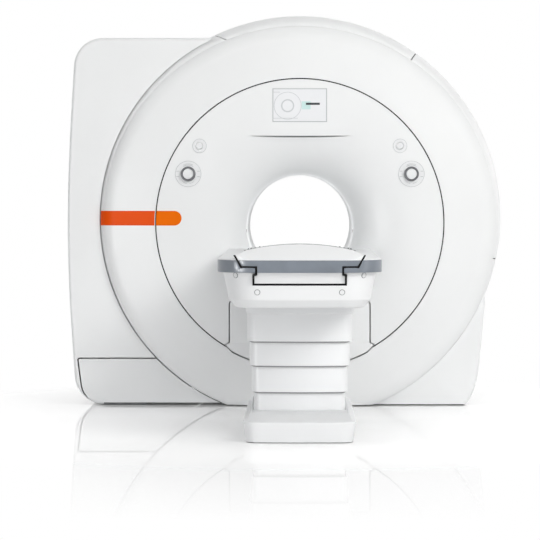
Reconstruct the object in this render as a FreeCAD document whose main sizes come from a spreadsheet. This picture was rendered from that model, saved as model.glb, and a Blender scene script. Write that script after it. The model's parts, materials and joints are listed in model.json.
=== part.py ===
import FreeCAD, Part
import math
import os
import Sketcher

# Magnetic resonance scanner with a 60 cm bore and a patient table in front of it.
# The origin is on the floor under the middle of the magnet. X points to the right as seen
# from the table, Y points from the table into the bore, Z points up. Millimetres.

DIMENSIONS = [
    # bore and front
    ("BoreRadius", 300, "inside of the patient bore"),
    ("BoreHeight", 995, "bore axis above the floor"),
    ("RingHeight", 1022, "centre of the round front above the floor"),
    ("DiscRadius", 798.5, "seam between the funnel disc and the ring"),
    ("ConeRadius", 1013, "where the sloping ring turns to its rounded edge"),
    ("RingRadius", 1095, "outer edge of the ring"),
    ("FaceDepth", 780, "front face ahead of the magnet's middle"),
    ("ConeDrop", 42, "how far the ring slopes back to ConeRadius"),
    ("EdgeDrop", 90, "how far the ring's outer edge lies behind the face"),
    ("ShoulderDrop", 26, "middle of the ring's rounded edge, behind the end of the slope"),
    ("ShoulderInset", 15, "middle of the ring's rounded edge, in from RingRadius"),
    ("FlangeDepth", 41, "depth of the ring's inner flange behind the face"),
    ("FlangeWidth", 30, "how far that flange reaches behind the disc"),
    ("BellRadius", 640, "where the flat disc starts to turn into the bore"),
    ("BellDepth", 220, "depth of the funnel"),
    ("CoverWall", 6, "thickness of the front and rear covers"),
    ("RimDepth", 35, "depth of the disc's turned-in rim"),
    ("LipGap", 0.3, "gap between the disc and the funnel's lip"),
    ("SeamGap", 6, "width of the seam round the disc"),
    ("BrowHeight", 1504, "lower edge of the display brow"),
    ("BrowTall", 170, "height of the display brow"),
    ("BrowDeep", 31, "depth of the display brow and its recess"),
    ("BrowHalfWidth", 285, "half the width of the display brow"),
    ("DockHalfWidth", 387, "half the width of the docking panel"),
    ("DockTop", 583, "top of the docking panel"),
    ("DockShelf", 49, "depth of the shelf along the docking panel's top"),
    ("DockGap", 7, "gap round the docking panel and the kick panel"),
    ("DockReach", 10.5, "how far the docking panel's lower edge reaches past the disc"),
    ("FloorGap", 6, "gap between the covers and the floor"),
    # side covers
    ("BodyRadius", 1130, "outside of the side covers"),
    ("BodyHeight", 1055, "centre of the side covers above the floor"),
    ("BodyWall", 8, "thickness of the side covers"),
    ("SkirtFootWidth", 964, "right skirt just above the floor"),
    ("SkirtTopWidth", 1033, "right skirt where it meets the round side"),
    ("SkirtTop", 600, "height where the right skirt meets the round side"),
    ("SkirtDepth", 662, "front of the right skirt ahead of the middle"),
    # side cabinet
    ("CabinetFront", 660, "cabinet face ahead of the magnet's middle"),
    ("CabinetRear", 600, "cabinet rear behind the magnet's middle"),
    ("CabinetSide", 1299, "outermost point of the cabinet's side"),
    ("CabinetTopSide", 1262, "cabinet side at its top and bottom"),
    ("CabinetTop", 2053, "top of the cabinet"),
    ("CabinetCorner", 162, "rounding of the cabinet's two outer corners"),
    ("KickTop", 259, "top of the kick panel"),
    ("KickSide", 1239, "top outer corner of the kick panel"),
    ("KickCorner", 112, "rounding of the kick panel's outer corner"),
    # controls
    ("DisplayWidth", 302, "display, across"),
    ("DisplayTall", 186, "display, up"),
    ("DisplayHeight", 1673, "middle of the display above the floor"),
    ("DialSide", 618, "dials, from the middle"),
    ("DialHeight", 1293, "dials above the floor"),
    ("DialRadius", 73, "outside of a dial's scale ring"),
    ("DialHub", 27, "hub that carries a dial in the cover"),
    ("KnobRadius", 43, "outside of a dial's turning ring"),
    ("CentreRadius", 25, "push button in the middle of a dial"),
    ("ButtonSide", 555, "small buttons, from the middle"),
    ("ButtonHeight", 1448, "small buttons above the floor"),
    ("ButtonRimRadius", 40, "rim round a small button"),
    ("ButtonRadius", 20, "small button"),
    ("ButtonHub", 22, "hub that carries a small button in the cover"),
    ("StripLow", 1007, "lower edge of the coloured strip"),
    ("StripHigh", 1088, "upper edge of the coloured strip"),
    ("StripEnd", 655, "rounded end of the coloured strip, from the middle"),
    ("StripSkin", 1.5, "thickness of the coloured strip"),
    # magnet
    ("VesselRadius", 880, "outside of the vacuum vessel"),
    ("VesselBore", 450, "warm bore of the vacuum vessel"),
    ("VesselHalf", 640, "half the length of the vacuum vessel"),
    ("VesselWall", 12, "wall of the vacuum vessel"),
    ("ShieldRadius", 835, "outside of the thermal shield"),
    ("ShieldBore", 495, "bore of the thermal shield"),
    ("ShieldHalf", 590, "half the length of the thermal shield"),
    ("ShieldWall", 5, "wall of the thermal shield"),
    ("ColdRadius", 800, "outside of the helium vessel"),
    ("ColdBore", 530, "bore of the helium vessel"),
    ("ColdHalf", 550, "half the length of the helium vessel"),
    ("ColdWall", 8, "wall of the helium vessel"),
    ("StrutRadius", 14, "struts of the cold mass, and the posts of the covers"),
    ("StrutPlace", 450, "struts, from the magnet's middle"),
    ("MainCoilThick", 55, "winding thickness of the main coils"),
    ("ShieldCoilThick", 40, "winding thickness of the shielding coils"),
    ("GradientBore", 365, "inside of the gradient coil"),
    ("GradientHalf", 600, "half the length of the gradient coil"),
    ("LinerWall", 8, "wall of the bore liner"),
    ("BodyCoilThick", 10, "thickness of the body coil round the liner"),
    ("BodyCoilHalf", 300, "half the length of the body coil"),
    ("RailSide", 120, "table rails in the bore, from the middle"),
    ("RailTop", 803, "top of the table rails"),
    ("RailHalf", 540, "half the length of the table rails"),
    ("TurretRadius", 130, "service turret on the vessel"),
    ("TurretPlace", 250, "service turret behind the magnet's middle"),
    ("TurretTop", 2060, "top of the service turret"),
    # table
    ("TableFront", 3050, "front of the table ahead of the magnet's middle"),
    ("TableRear", 800, "rear of the table housing"),
    ("TableHalf", 388, "half the width of the table housing"),
    ("TableCorner", 200, "rounding of the table's front corners seen from above"),
    ("RimHeight", 880, "top of the table housing"),
    ("BandTop", 874, "top of the bumper band"),
    ("BandLow", 816, "underside of the bumper band"),
    ("BandDepth", 18, "thickness of the bumper band"),
    ("HousingLow", 648, "underside of the table housing"),
    ("HousingWall", 8, "wall of the table housing"),
    ("ChannelLow", 757, "floor of the table's guide channel"),
    ("ChannelLip", 30, "depth of the channel's front lip, which follows the end cap"),
    ("SlideGap", 8, "gap round the end cap in the channel"),
    ("LedgeHeight", 839, "ledge that carries the tabletop"),
    ("ArchHeight", 948, "top of the end cap's arch"),
    ("CapDepth", 120, "depth of the end cap"),
    ("TopHalf", 255, "half the width of the tabletop"),
    ("TopHeight", 884, "rim of the tabletop"),
    # column and foot
    ("ColumnFront", 2433, "front of the outermost column section"),
    ("ColumnRear", 1667, "rear of the outermost column section"),
    ("ColumnHalf", 253.5, "half the width of the outermost column section"),
    ("ColumnStep", 10.8, "how much each section is smaller all round"),
    ("ColumnCorner", 38, "rounding of the outermost section's corners"),
    ("ColumnWall", 6, "wall of a column section"),
    ("FootHalf", 270, "half the width of the foot where it is widest"),
    ("FootFront", 2832, "front of the foot where it is widest"),
    ("FootRear", 1480, "rear of the foot where it is widest"),
    ("FootTaper", 17, "how much smaller the foot is at the floor, all round"),
    ("FootEdge", 100, "height of the foot where it is widest"),
    ("FootTop", 122, "top of the foot"),
    ("FootCorner", 66, "rounding of the foot's corners seen from above"),
    ("FootWall", 6, "wall of the foot cover"),
    ("PlateTop", 25, "top of the foot's base plate"),
    ("FrameTop", 60, "top of the magnet's base frame"),
    ("FrameHalfWidth", 380, "half the width of the base frame"),
    ("FrameHalfDepth", 540, "half the depth of the base frame"),
    ("FloorBoltRadius", 10, "holes for the floor bolts"),
]

V = FreeCAD.Vector
doc = FreeCAD.newDocument("scanner")
sheet = doc.addObject("Spreadsheet::Sheet", "Dims")


class Size:
    """A length that keeps its value and the sheet expression that gives it."""

    def __init__(self, value, text):
        self.value = float(value)
        self.text = text

    def __add__(self, other):
        other = as_size(other)
        return Size(self.value + other.value, f"({self.text} + {other.text})")

    def __sub__(self, other):
        other = as_size(other)
        return Size(self.value - other.value, f"({self.text} - {other.text})")

    def __mul__(self, factor):
        return Size(self.value * factor, f"({self.text} * {factor:.9g})")

    def __neg__(self):
        return self * -1

    def __rsub__(self, other):
        return as_size(other) - self

    __radd__ = __add__
    __rmul__ = __mul__


def as_size(number):
    return number if isinstance(number, Size) else Size(number, f"({float(number):.9g})")


def fill_sheet():
    sizes = {}
    for row, (name, value, note) in enumerate(DIMENSIONS, start=1):
        sheet.set(f"A{row}", name)
        sheet.set(f"B{row}", str(value))
        sheet.set(f"C{row}", note)
        sheet.setAlias(f"B{row}", name)
        sizes[name] = Size(value, f"Dims.{name}")
    doc.recompute()
    return sizes


D = fill_sheet()
nodes = []


def bind(thing, prop, size):
    thing.setExpression(prop, as_size(size).text)


def place(thing, x=0, y=0, z=0, turn=None):
    if turn is not None:
        thing.Placement = FreeCAD.Placement(V(0, 0, 0), turn)
    for axis, size in zip("xyz", (x, y, z)):
        bind(thing, f"Placement.Base.{axis}", size)
    return thing


def node(label, thing):
    thing.Label = label
    nodes.append(thing)
    return thing


# ---------------------------------------------------------------- building blocks

def block(x, y, z):
    """A box between a low and a high size on each axis."""
    box = doc.addObject("Part::Box", "block")
    for prop, (low, high) in zip(("Length", "Width", "Height"), (x, y, z)):
        bind(box, prop, as_size(high) - low)
    return place(box, x[0], y[0], z[0])


TURN = {"x": FreeCAD.Rotation(V(0, 1, 0), 90),
        "y": FreeCAD.Rotation(V(1, 0, 0), -90),
        "z": FreeCAD.Rotation()}


def rod(axis, centre, radius, low, high):
    """A cylinder along an axis; centre holds the two other coordinates in order."""
    cylinder = doc.addObject("Part::Cylinder", "rod")
    bind(cylinder, "Radius", radius)
    bind(cylinder, "Height", as_size(high) - low)
    spot = dict(zip([a for a in "xyz" if a != axis], centre))
    spot[axis] = low
    return place(cylinder, turn=TURN[axis], **spot)


def join(*things):
    fusion = doc.addObject("Part::MultiFuse", "join")
    fusion.Shapes = list(things)
    return fusion


def cut(base, *tools):
    result = doc.addObject("Part::Cut", "cut")
    result.Base = base
    result.Tool = tools[0] if len(tools) == 1 else join(*tools)
    return result


def overlap(*things):
    common = doc.addObject("Part::MultiCommon", "overlap")
    common.Shapes = list(things)
    return common


def group(*things):
    """Separate solids that share one node."""
    compound = doc.addObject("Part::Compound", "group")
    compound.Links = list(things)
    return compound


def tube(axis, centre, outer, inner, low, high):
    return cut(rod(axis, centre, outer, low, high), rod(axis, centre, inner, low, high))


def rounded(base, radius, wanted, kind="Part::Fillet"):
    """Rounds, or with Part::Chamfer bevels, the edges of base that pass wanted(edge)."""
    doc.recompute()
    edging = doc.addObject(kind, "edging")
    edging.Base = base
    size = as_size(radius).value
    edging.Edges = [(index, size, size) for index, edge in enumerate(base.Shape.Edges, start=1)
                    if wanted(edge)]
    return edging


def upright(edge):
    """True for an edge that runs straight up."""
    box = edge.BoundBox
    return box.ZLength > 1 and box.XLength < 0.01 and box.YLength < 0.01


def plane(body, role):
    return [feature for feature in body.Origin.OriginFeatures if feature.Role == role][0]


def outline(body, role, corners):
    """A closed sketch of straight runs on one of a body's origin planes."""
    sketch = body.newObject("Sketcher::SketchObject", "outline")
    sketch.AttachmentSupport = (plane(body, role), [""])
    sketch.MapMode = "FlatFace"
    return draw(sketch, corners)


def draw(sketch, corners):
    """Draws a closed outline whose corners are bound to the sheet of dimensions."""
    spots = [(as_size(a), as_size(b)) for a, b in corners]
    count = len(spots)
    for index, (a, b) in enumerate(spots):
        c, d = spots[(index + 1) % count]
        sketch.addGeometry(Part.LineSegment(V(a.value, b.value, 0), V(c.value, d.value, 0)), False)
    for index in range(count):
        sketch.addConstraint(Sketcher.Constraint("Coincident", index, 2, (index + 1) % count, 1))
    for index, spot in enumerate(spots):
        for kind, size in zip(("DistanceX", "DistanceY"), spot):
            number = sketch.addConstraint(
                Sketcher.Constraint(kind, -1, 1, index, 1, size.value))
            sketch.setExpression(f"Constraints[{number}]", size.text)
    return sketch


def prism(role, corners, low, high):
    """An outline drawn on an origin plane and padded from low to high."""
    body = doc.addObject("PartDesign::Body", "prism")
    pad = body.newObject("PartDesign::Pad", "pad")
    pad.Profile = outline(body, role, corners)
    bind(pad, "Length", as_size(high) - low)
    pad.Reversed = role == "XZ_Plane"
    axis = {"XY_Plane": "z", "XZ_Plane": "y", "YZ_Plane": "x"}[role]
    return place(body, **{axis: low})


def turned(corners, height):
    """A (y, radius) outline turned about the line through height along Y."""
    body = doc.addObject("PartDesign::Body", "turned")
    sketch = outline(body, "YZ_Plane", corners)
    revolution = body.newObject("PartDesign::Revolution", "revolution")
    revolution.Profile = sketch
    revolution.ReferenceAxis = (sketch, ["H_Axis"])
    revolution.Angle = 360
    return place(body, z=height)


SEAM_AT_SIDE = FreeCAD.Rotation(V(1, 0, 0), 90)
SEAM_AT_FLOOR = FreeCAD.Rotation(V(0, 0, -1), V(1, 0, 0), V(0, -1, 0), "XYZ")


def loft(rings, seam):
    """A solid through circles given as (y, radius, height of the centre)."""
    circles = []
    for depth, radius, height in rings:
        circle = doc.addObject("Part::Circle", "section")
        bind(circle, "Radius", radius)
        circles.append(place(circle, y=depth, z=height, turn=seam))
    solid = doc.addObject("Part::Loft", "loft")
    solid.Sections = circles
    solid.Solid = True
    solid.Ruled = True
    return solid


def polar(radius, degrees, height):
    """The point at an angle on a circle whose centre is at height above the floor."""
    angle = math.radians(degrees)
    return as_size(radius) * math.cos(angle), as_size(radius) * math.sin(angle) + height


def level(corners, height):
    """A closed flat outline of (x, y) corners at a height, as a section for a loft."""
    sketch = doc.addObject("Sketcher::SketchObject", "level")
    draw(sketch, corners)
    return place(sketch, z=height)


def stacked(levels):
    """A solid through outlines that lie one above the other."""
    solid = doc.addObject("Part::Loft", "stacked")
    solid.Sections = levels
    solid.Solid = True
    solid.Ruled = True
    return solid


def mirrored(corners):
    """Corners of the right half, closed with the same ones on the left."""
    return corners + [(-as_size(a), b) for a, b in reversed(corners)]


def rounded_corner(centre, radius, first, last, steps):
    """Corners along an arc from one angle to another."""
    corners = []
    for step in range(steps + 1):
        across, along = polar(radius, first + (last - first) * step / steps, centre[1])
        corners.append((across + centre[0], along))
    return corners


# ---------------------------------------------------------------- magnet

DIAGONALS = (45, 135, 225, 315)
MAIN_COILS = ((60, 120), (210, 300), (400, 530))
SHIELD_COIL = (430, 500)


def bore_ring(outer, inner, low, high):
    return tube("y", (0, D["BoreHeight"]), outer, inner, low, high)


def drum(name):
    """A closed ring-shaped vessel round the bore axis, from the sizes that share its name."""
    outer, inner, half, wall = (D[name + size] for size in ("Radius", "Bore", "Half", "Wall"))
    room = bore_ring(outer - wall, inner + wall, -half + wall, half - wall)
    return cut(bore_ring(outer, inner, -half, half), room)


def spoke(degrees, depth, radius, length):
    """A rod from the bore axis outwards, at an angle seen from the front."""
    cylinder = doc.addObject("Part::Cylinder", "spoke")
    bind(cylinder, "Radius", radius)
    bind(cylinder, "Height", length)
    turn = FreeCAD.Rotation(V(0, 1, 0), 90 - degrees)
    return place(cylinder, y=depth, z=D["BoreHeight"], turn=turn)


def ring_pair(outer, thick, ends):
    """Two like windings, one on each side of the magnet's middle."""
    near, far = ends
    return [bore_ring(outer, outer - thick, near, far), bore_ring(outer, outer - thick, -far, -near)]


def make_magnet():
    node("vacuum_vessel", drum("Vessel"))
    struts = join(*[spoke(degrees, depth, D["StrutRadius"], D["VesselRadius"])
                    for depth in (-D["StrutPlace"], D["StrutPlace"]) for degrees in DIAGONALS])
    between = bore_ring(D["VesselRadius"] - D["VesselWall"], D["ColdRadius"],
                        -D["ColdHalf"], D["ColdHalf"])
    node("suspension_struts", overlap(struts, between))
    node("thermal_shield", cut(drum("Shield"), struts))
    node("helium_vessel", drum("Cold"))
    windings = ring_pair(D["ColdRadius"] - D["ColdWall"], D["ShieldCoilThick"], SHIELD_COIL)
    for ends in MAIN_COILS:
        outer = D["ColdBore"] + D["ColdWall"] + D["MainCoilThick"]
        windings += ring_pair(outer, D["MainCoilThick"], ends)
    node("superconducting_coils", group(*windings))

    spot, outside = (0, D["TurretPlace"]), rod("y", (0, D["BoreHeight"]), D["VesselRadius"], -700, 700)
    flange_radius, flange_tall, head_radius, head_tall = 78, 30, 48, 65
    turret = rod("z", spot, D["TurretRadius"], D["BoreHeight"], D["TurretTop"])
    flange_top = D["TurretTop"] + flange_tall
    cold_head = join(rod("z", spot, flange_radius, D["TurretTop"], flange_top),
                     rod("z", spot, head_radius, flange_top, flange_top + head_tall))
    node("service_turret", join(cut(turret, outside), cold_head))


def make_bore():
    """Gradient coil, liner with the body coil on it, table rails and laser windows."""
    node("gradient_coil", bore_ring(D["VesselBore"], D["GradientBore"],
                                    -D["GradientHalf"], D["GradientHalf"]))
    outside = D["BoreRadius"] + D["LinerWall"]
    throat = D["FaceDepth"] - D["BellDepth"] - D["CoverWall"]
    node("bore_liner", bore_ring(outside, D["BoreRadius"], -throat, throat))
    node("body_rf_coil", bore_ring(outside + D["BodyCoilThick"], outside,
                                   -D["BodyCoilHalf"], D["BodyCoilHalf"]))

    half_width, foot_height = 15, 650
    along = (-D["RailHalf"], D["RailHalf"])
    rails = [block((side - half_width, side + half_width), along, (foot_height, D["RailTop"]))
             for side in (-D["RailSide"], D["RailSide"])]
    bore_space = rod("y", (0, D["BoreHeight"]), D["BoreRadius"], *along)
    node("bore_table_rails", group(*[overlap(rail, bore_space) for rail in rails]))

    window_depth, window_radius, glass = -535, 9, 2
    spokes = [spoke(degrees, window_depth, window_radius, D["VesselBore"]) for degrees in (-176, -4)]
    skin = bore_ring(D["BoreRadius"], D["BoreRadius"] - glass, window_depth - 15, window_depth + 35)
    node("laser_windows", overlap(group(*spokes), skin))


def make_base():
    """Welded floor frame with six bays and bolt holes, and the cradles that stand on it."""
    half_width, half_depth = D["FrameHalfWidth"], D["FrameHalfDepth"]
    rail, web, cross_rail = 90, 20, 150
    bays = [(-half_width + rail, -web), (web, half_width - rail)]
    rows = [(-half_depth + rail, -cross_rail - web), (-cross_rail + web, cross_rail - web),
            (cross_rail + web, half_depth - rail)]
    height = (-1, D["FrameTop"] + 1)
    openings = [block(x, y, height) for x in bays for y in rows]
    for x in (-half_width + rail * 0.5, half_width - rail * 0.5):
        for y in (-half_depth + rail * 0.5, half_depth - rail * 0.5):
            openings.append(rod("z", (x, y), D["FloorBoltRadius"], *height))
    slab = block((-half_width, half_width), (-half_depth, half_depth), (0, D["FrameTop"]))
    node("base_frame", cut(slab, *openings))

    cradle_place, cradle_half, cradle_top = 400, 50, 500
    vessel = rod("y", (0, D["BoreHeight"]), D["VesselRadius"], -700, 700)
    cradles = [cut(block((-half_width, half_width), (depth - cradle_half, depth + cradle_half),
                         (D["FrameTop"], cradle_top)), vessel)
               for depth in (-cradle_place, cradle_place)]
    node("magnet_cradles", group(*cradles))


# ---------------------------------------------------------------- front and rear covers

def face(side, drop):
    """Depth of a surface that lies drop behind the front face, or the rear one."""
    return (D["FaceDepth"] - drop) * side


def span(side, near, far):
    """Low and high depth of what lies between two drops behind a face."""
    return sorted([face(side, near), face(side, far)], key=lambda size: size.value)


BELL_ANGLES = (0, 15, 30, 45, 60, 75, 90)
THROUGH = (-5, 80)


def bell(side, wall):
    """The funnel's surface, from the flat disc to the bore, moved out by wall."""
    rings = []
    for degrees in BELL_ANGLES:
        inward = math.sin(math.radians(degrees))
        deep = 1 - math.cos(math.radians(degrees))
        radius = D["BellRadius"] - (D["BellRadius"] - D["BoreRadius"]) * inward + wall
        height = D["RingHeight"] - (D["RingHeight"] - D["BoreHeight"]) * inward
        rings.append((face(side, D["BellDepth"] * deep + wall), radius, height))
    return loft(rings, SEAM_AT_SIDE)


def round_plate(side, radius, near, far):
    """A disc round the ring's centre between two drops behind a face."""
    return rod("y", (0, D["RingHeight"]), radius, *span(side, near, far))


def disc_edge():
    return D["DiscRadius"] - D["SeamGap"] * 0.5


def ring_edge():
    return D["DiscRadius"] + D["SeamGap"] * 0.5


def bell_outside(side, extra=0):
    """The round space in front of the bell, out to the wall's own edge."""
    return round_plate(side, D["BellRadius"] + D["CoverWall"] + extra, -1, D["RimDepth"] + 1)


def funnel_hollow(side):
    """The open inside of the funnel, from the face to the bore."""
    throat = rod("y", (0, D["BoreHeight"]), D["BoreRadius"],
                 *span(side, D["BellDepth"] - 1, D["BellDepth"] + D["CoverWall"] + 1))
    return join(bell(side, as_size(0)), throat)


def disc_cover(side):
    """Flat ring-shaped plate with a turned-in rim, outside the bell."""
    wall = D["CoverWall"]
    room = round_plate(side, disc_edge() - wall, wall, D["RimDepth"] + 1)
    return cut(round_plate(side, disc_edge(), 0, D["RimDepth"]), room,
               bell_outside(side, D["LipGap"]))


def funnel_cover(side, brow=None):
    """The bell with its lip; the brow fills part of it with a flat face."""
    lip = round_plate(side, D["BellRadius"] + D["CoverWall"], 0, D["CoverWall"])
    body, hollow = join(bell(side, D["CoverWall"]), lip), funnel_hollow(side)
    if brow:
        body, hollow = join(body, brow), cut(hollow, brow)
    return cut(body, hollow)


def dock_box(gap, depth):
    """The docking panel's outline, grown by gap to the sides and upwards."""
    half = D["DockHalfWidth"] + gap
    return block((-half, half), depth, (0, D["DockTop"] + gap))


def make_front_cover():
    brow = block((-D["BrowHalfWidth"], D["BrowHalfWidth"]), span(-1, 0, D["BrowDeep"]),
                 (D["BrowHeight"], D["BrowHeight"] + D["BrowTall"]))
    through = span(-1, *THROUGH)
    openings = [dock_box(D["DockGap"], through), display_box(0, through)]
    for side in (-1, 1):
        openings += [rod("y", dial_spot(side), D["DialHub"], *through),
                     rod("y", button_spot(side), D["ButtonHub"], *through)]
    holes = join(*openings)
    node("disc_cover_front", cut(disc_cover(-1), holes))
    node("funnel_cover_front", cut(funnel_cover(-1, overlap(brow, bell_outside(-1))), holes))

    wall = D["CoverWall"]
    shelf = block((-D["DockHalfWidth"], D["DockHalfWidth"]), span(-1, 0, D["DockShelf"]),
                  (D["DockTop"] - wall, D["DockTop"]))
    panel = join(dock_box(0, span(-1, 0, wall)), shelf)
    node("docking_panel", overlap(panel, round_plate(-1, disc_edge() + D["DockReach"], *THROUGH)))


def make_rear_cover():
    node("disc_cover_rear", disc_cover(1))
    node("funnel_cover_rear", funnel_cover(1))


def ring_slope():
    """The ring's outer section as (drop behind the face, radius), up to its rounded edge."""
    return [(as_size(0), ring_edge()), (D["ConeDrop"], D["ConeRadius"]),
            (D["ConeDrop"] + D["ShoulderDrop"], D["RingRadius"] - D["ShoulderInset"])]


def ring_profile(side):
    """Section of the sloping ring with its wall and its inner flange."""
    wall, inner, depth = D["CoverWall"], ring_edge(), D["FlangeDepth"]
    outer = ring_slope() + [(D["EdgeDrop"] - wall, D["RingRadius"]), (D["EdgeDrop"], D["RingRadius"])]
    inside = [(D["EdgeDrop"], D["RingRadius"] - wall),
              (D["ConeDrop"] + D["ShoulderDrop"] + wall, D["RingRadius"] - D["ShoulderInset"] - wall),
              (D["ConeDrop"] + wall, D["ConeRadius"] - wall), (wall + 2, inner + wall),
              (depth, inner + wall), (depth, inner - D["FlangeWidth"]),
              (depth - wall, inner - D["FlangeWidth"]), (depth - wall, inner)]
    return [(face(side, drop), radius) for drop, radius in outer + inside]


def floor_space():
    """What lies below the lower edge of the covers."""
    return block((-1500, 1500), (-1000, 1000), (-600, D["FloorGap"]))


def make_ring_covers():
    recess_drop = (-1, D["RimDepth"] - 2)
    recess = overlap(dock_box(D["DockGap"], span(-1, *recess_drop)),
                     round_plate(-1, ring_edge() + D["DockReach"], *recess_drop))
    front, rear = (turned(ring_profile(side), D["RingHeight"]) for side in (-1, 1))
    node("ring_cover_front", cut(front, floor_space(), recess))
    node("ring_cover_rear", cut(rear, floor_space()))


def make_strips():
    """Coloured strip that runs from the ring's edge across the seam to the disc."""
    height, skin = (D["StripLow"], D["StripHigh"]), D["StripSkin"]
    corners = [(face(-1, drop - skin), radius) for drop, radius in ring_slope()]
    corners += [(face(-1, drop), radius) for drop, radius in reversed(ring_slope())]
    left_half = block((-1200, 0), (-900, -600), height)
    node("accent_strip_outer", overlap(turned(corners, D["RingHeight"]), left_half))
    radius = (D["StripHigh"] - D["StripLow"]) * 0.5
    middle = (D["StripHigh"] + D["StripLow"]) * 0.5
    depth = span(-1, -skin, 0)
    strip = join(block((-D["DiscRadius"], -D["StripEnd"] - radius), depth, height),
                 rod("y", (-D["StripEnd"] - radius, middle), radius, *depth))
    node("accent_strip_inner", overlap(strip, round_plate(-1, disc_edge(), *THROUGH)))


# ---------------------------------------------------------------- controls on the front

def display_box(margin, depth):
    half, tall = D["DisplayWidth"] * 0.5 - margin, D["DisplayTall"] * 0.5 - margin
    return block((-half, half), depth, (D["DisplayHeight"] - tall, D["DisplayHeight"] + tall))


def dial_spot(side):
    return D["DialSide"] * side, D["DialHeight"]


def button_spot(side):
    return D["ButtonSide"] * side, D["ButtonHeight"]


def make_display():
    """Glass in a narrow frame; both fill the recess in the brow."""
    border, proud, glass_proud, back = 5, -1.5, 0.5, 25
    frame = cut(display_box(0, span(-1, proud, D["BrowDeep"])),
                display_box(border, span(-1, proud - 1, back)))
    node("display_frame", frame)
    node("display_glass", display_box(border, span(-1, glass_proud, back)))


def make_dial(side, name):
    """Scale ring on its hub, turning ring on a blind stub, push button in the ring's cup."""
    spot = dial_spot(side)
    flange, hub_back, wall, play = -4, 34, 5, 0.5
    knob_face, knob_back, stub_back, cup_floor = -26, -5, 20, -6
    hub, stub = D["DialHub"], D["DialHub"] - wall - play
    bezel = join(rod("y", spot, D["DialRadius"], *span(-1, flange, 0)),
                 rod("y", spot, hub, *span(-1, flange, hub_back)))
    node(f"dial_bezel_{name}", cut(bezel, rod("y", spot, hub - wall,
                                              *span(-1, flange - 1, hub_back - wall - 1))))
    knob = join(rod("y", spot, D["KnobRadius"], *span(-1, knob_face, knob_back)),
                rod("y", spot, stub, *span(-1, knob_back, stub_back)))
    cup = rod("y", spot, D["CentreRadius"] + 1, *span(-1, knob_face - 1, cup_floor))
    node(f"dial_knob_{name}", cut(knob, cup))
    button_face, button_back = -28, -10
    node(f"dial_button_{name}", rod("y", spot, D["CentreRadius"],
                                    *span(-1, button_face, button_back)))


def make_button(side, name):
    """Small push button in a rim that sits in the cover."""
    spot = button_spot(side)
    flange, hub_back, floor, play = -3, 24, 20, 0.5
    rim = join(rod("y", spot, D["ButtonRimRadius"], *span(-1, flange, 0)),
               rod("y", spot, D["ButtonHub"], *span(-1, flange, hub_back)))
    node(f"button_rim_{name}", cut(rim, rod("y", spot, D["ButtonRadius"] + play,
                                            *span(-1, flange - 1, floor))))
    button_face, button_back = -2, 14
    node(f"push_button_{name}", rod("y", spot, D["ButtonRadius"],
                                    *span(-1, button_face, button_back)))


# ---------------------------------------------------------------- side covers

SKIRT_FLARE, SKIRT_BEND, SKIRT_SHOULDER = 26, 160, 900
HIDDEN = 300


def body_rings():
    """The round side as (depth, radius, height of the centre), from its front to its middle."""
    return [(688, D["RingRadius"] + 4, D["RingHeight"]), (655, 1117, D["RingHeight"] + 18),
            (600, 1127, D["RingHeight"] + 29), (540, D["BodyRadius"], D["BodyHeight"])]


def body_solid(wall, past=0):
    """The round side with its right skirt, moved in by wall; past lengthens both ends."""
    halves = [(depth + past * (row == 0), radius - wall, height)
              for row, (depth, radius, height) in enumerate(body_rings())]
    rings = [(-depth, radius, height) for depth, radius, height in halves]
    rings += [(depth, radius, height) for depth, radius, height in reversed(halves)]
    depth, foot, side = D["SkirtDepth"] - wall, D["SkirtFootWidth"] - wall, D["SkirtTopWidth"] - wall
    skirt = prism("XZ_Plane", [
        (HIDDEN, -past), (foot - 42, -past), (foot, 70), (foot + SKIRT_FLARE, SKIRT_BEND),
        (side, D["SkirtTop"]), (D["SkirtTopWidth"] - 200, SKIRT_SHOULDER), (HIDDEN, SKIRT_SHOULDER)],
        -depth, depth)
    return join(loft(rings, SEAM_AT_FLOOR), skirt)


def sector(first, last):
    """A wedge from the ring's centre between two angles, in degrees."""
    steps = max(1, math.ceil((last - first) / 60))
    corners = [(0, D["RingHeight"])]
    for step in range(steps + 1):
        corners.append(polar(2600, first + (last - first) * step / steps, D["RingHeight"]))
    return prism("XZ_Plane", corners, -800, 800)


def make_side_covers():
    shell = cut(body_solid(as_size(0)), body_solid(D["BodyWall"], past=30), floor_space())
    gap = 0.08
    sectors = [("top_cover", 54.7, 113.5), ("right_cover_upper", -12, 54.7),
               ("right_cover_lower", -90, -12), ("left_cover", 113.5, 270)]
    for name, first, last in sectors:
        node(name, overlap(shell, sector(first + gap, last - gap)))


# ---------------------------------------------------------------- side cabinet

def cabinet_outline(inset, low):
    """Outer cabinet seen from the front; its right side ends inside the round body."""
    side, top = D["CabinetTopSide"] - inset, D["CabinetTop"] - inset
    return [(-HIDDEN + inset, top), (-side, top), (-D["CabinetSide"] + inset, D["BoreHeight"]),
            (-side, low), (-HIDDEN + inset, low)]


def outer_corner(edge):
    """True for the cabinet's top and bottom outer edges, which run along Y."""
    box = edge.BoundBox
    return box.YLength > 500 and box.XMax < -1200 and not 500 < box.ZMin < 1500


def kick_panel(gap, depth):
    """The kick panel's outline, grown by gap, between two depths."""
    centre, first, last = (-D["KickSide"] + 134, 128), 188, 262
    bend = rounded_corner(centre, D["KickCorner"] + gap, first, last, 4)
    top = D["KickTop"] + gap
    return prism("XZ_Plane", [(-HIDDEN, top), (-D["KickSide"] - gap, top)] + bend
                 + [(-HIDDEN, bend[-1][1])], *depth)


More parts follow.
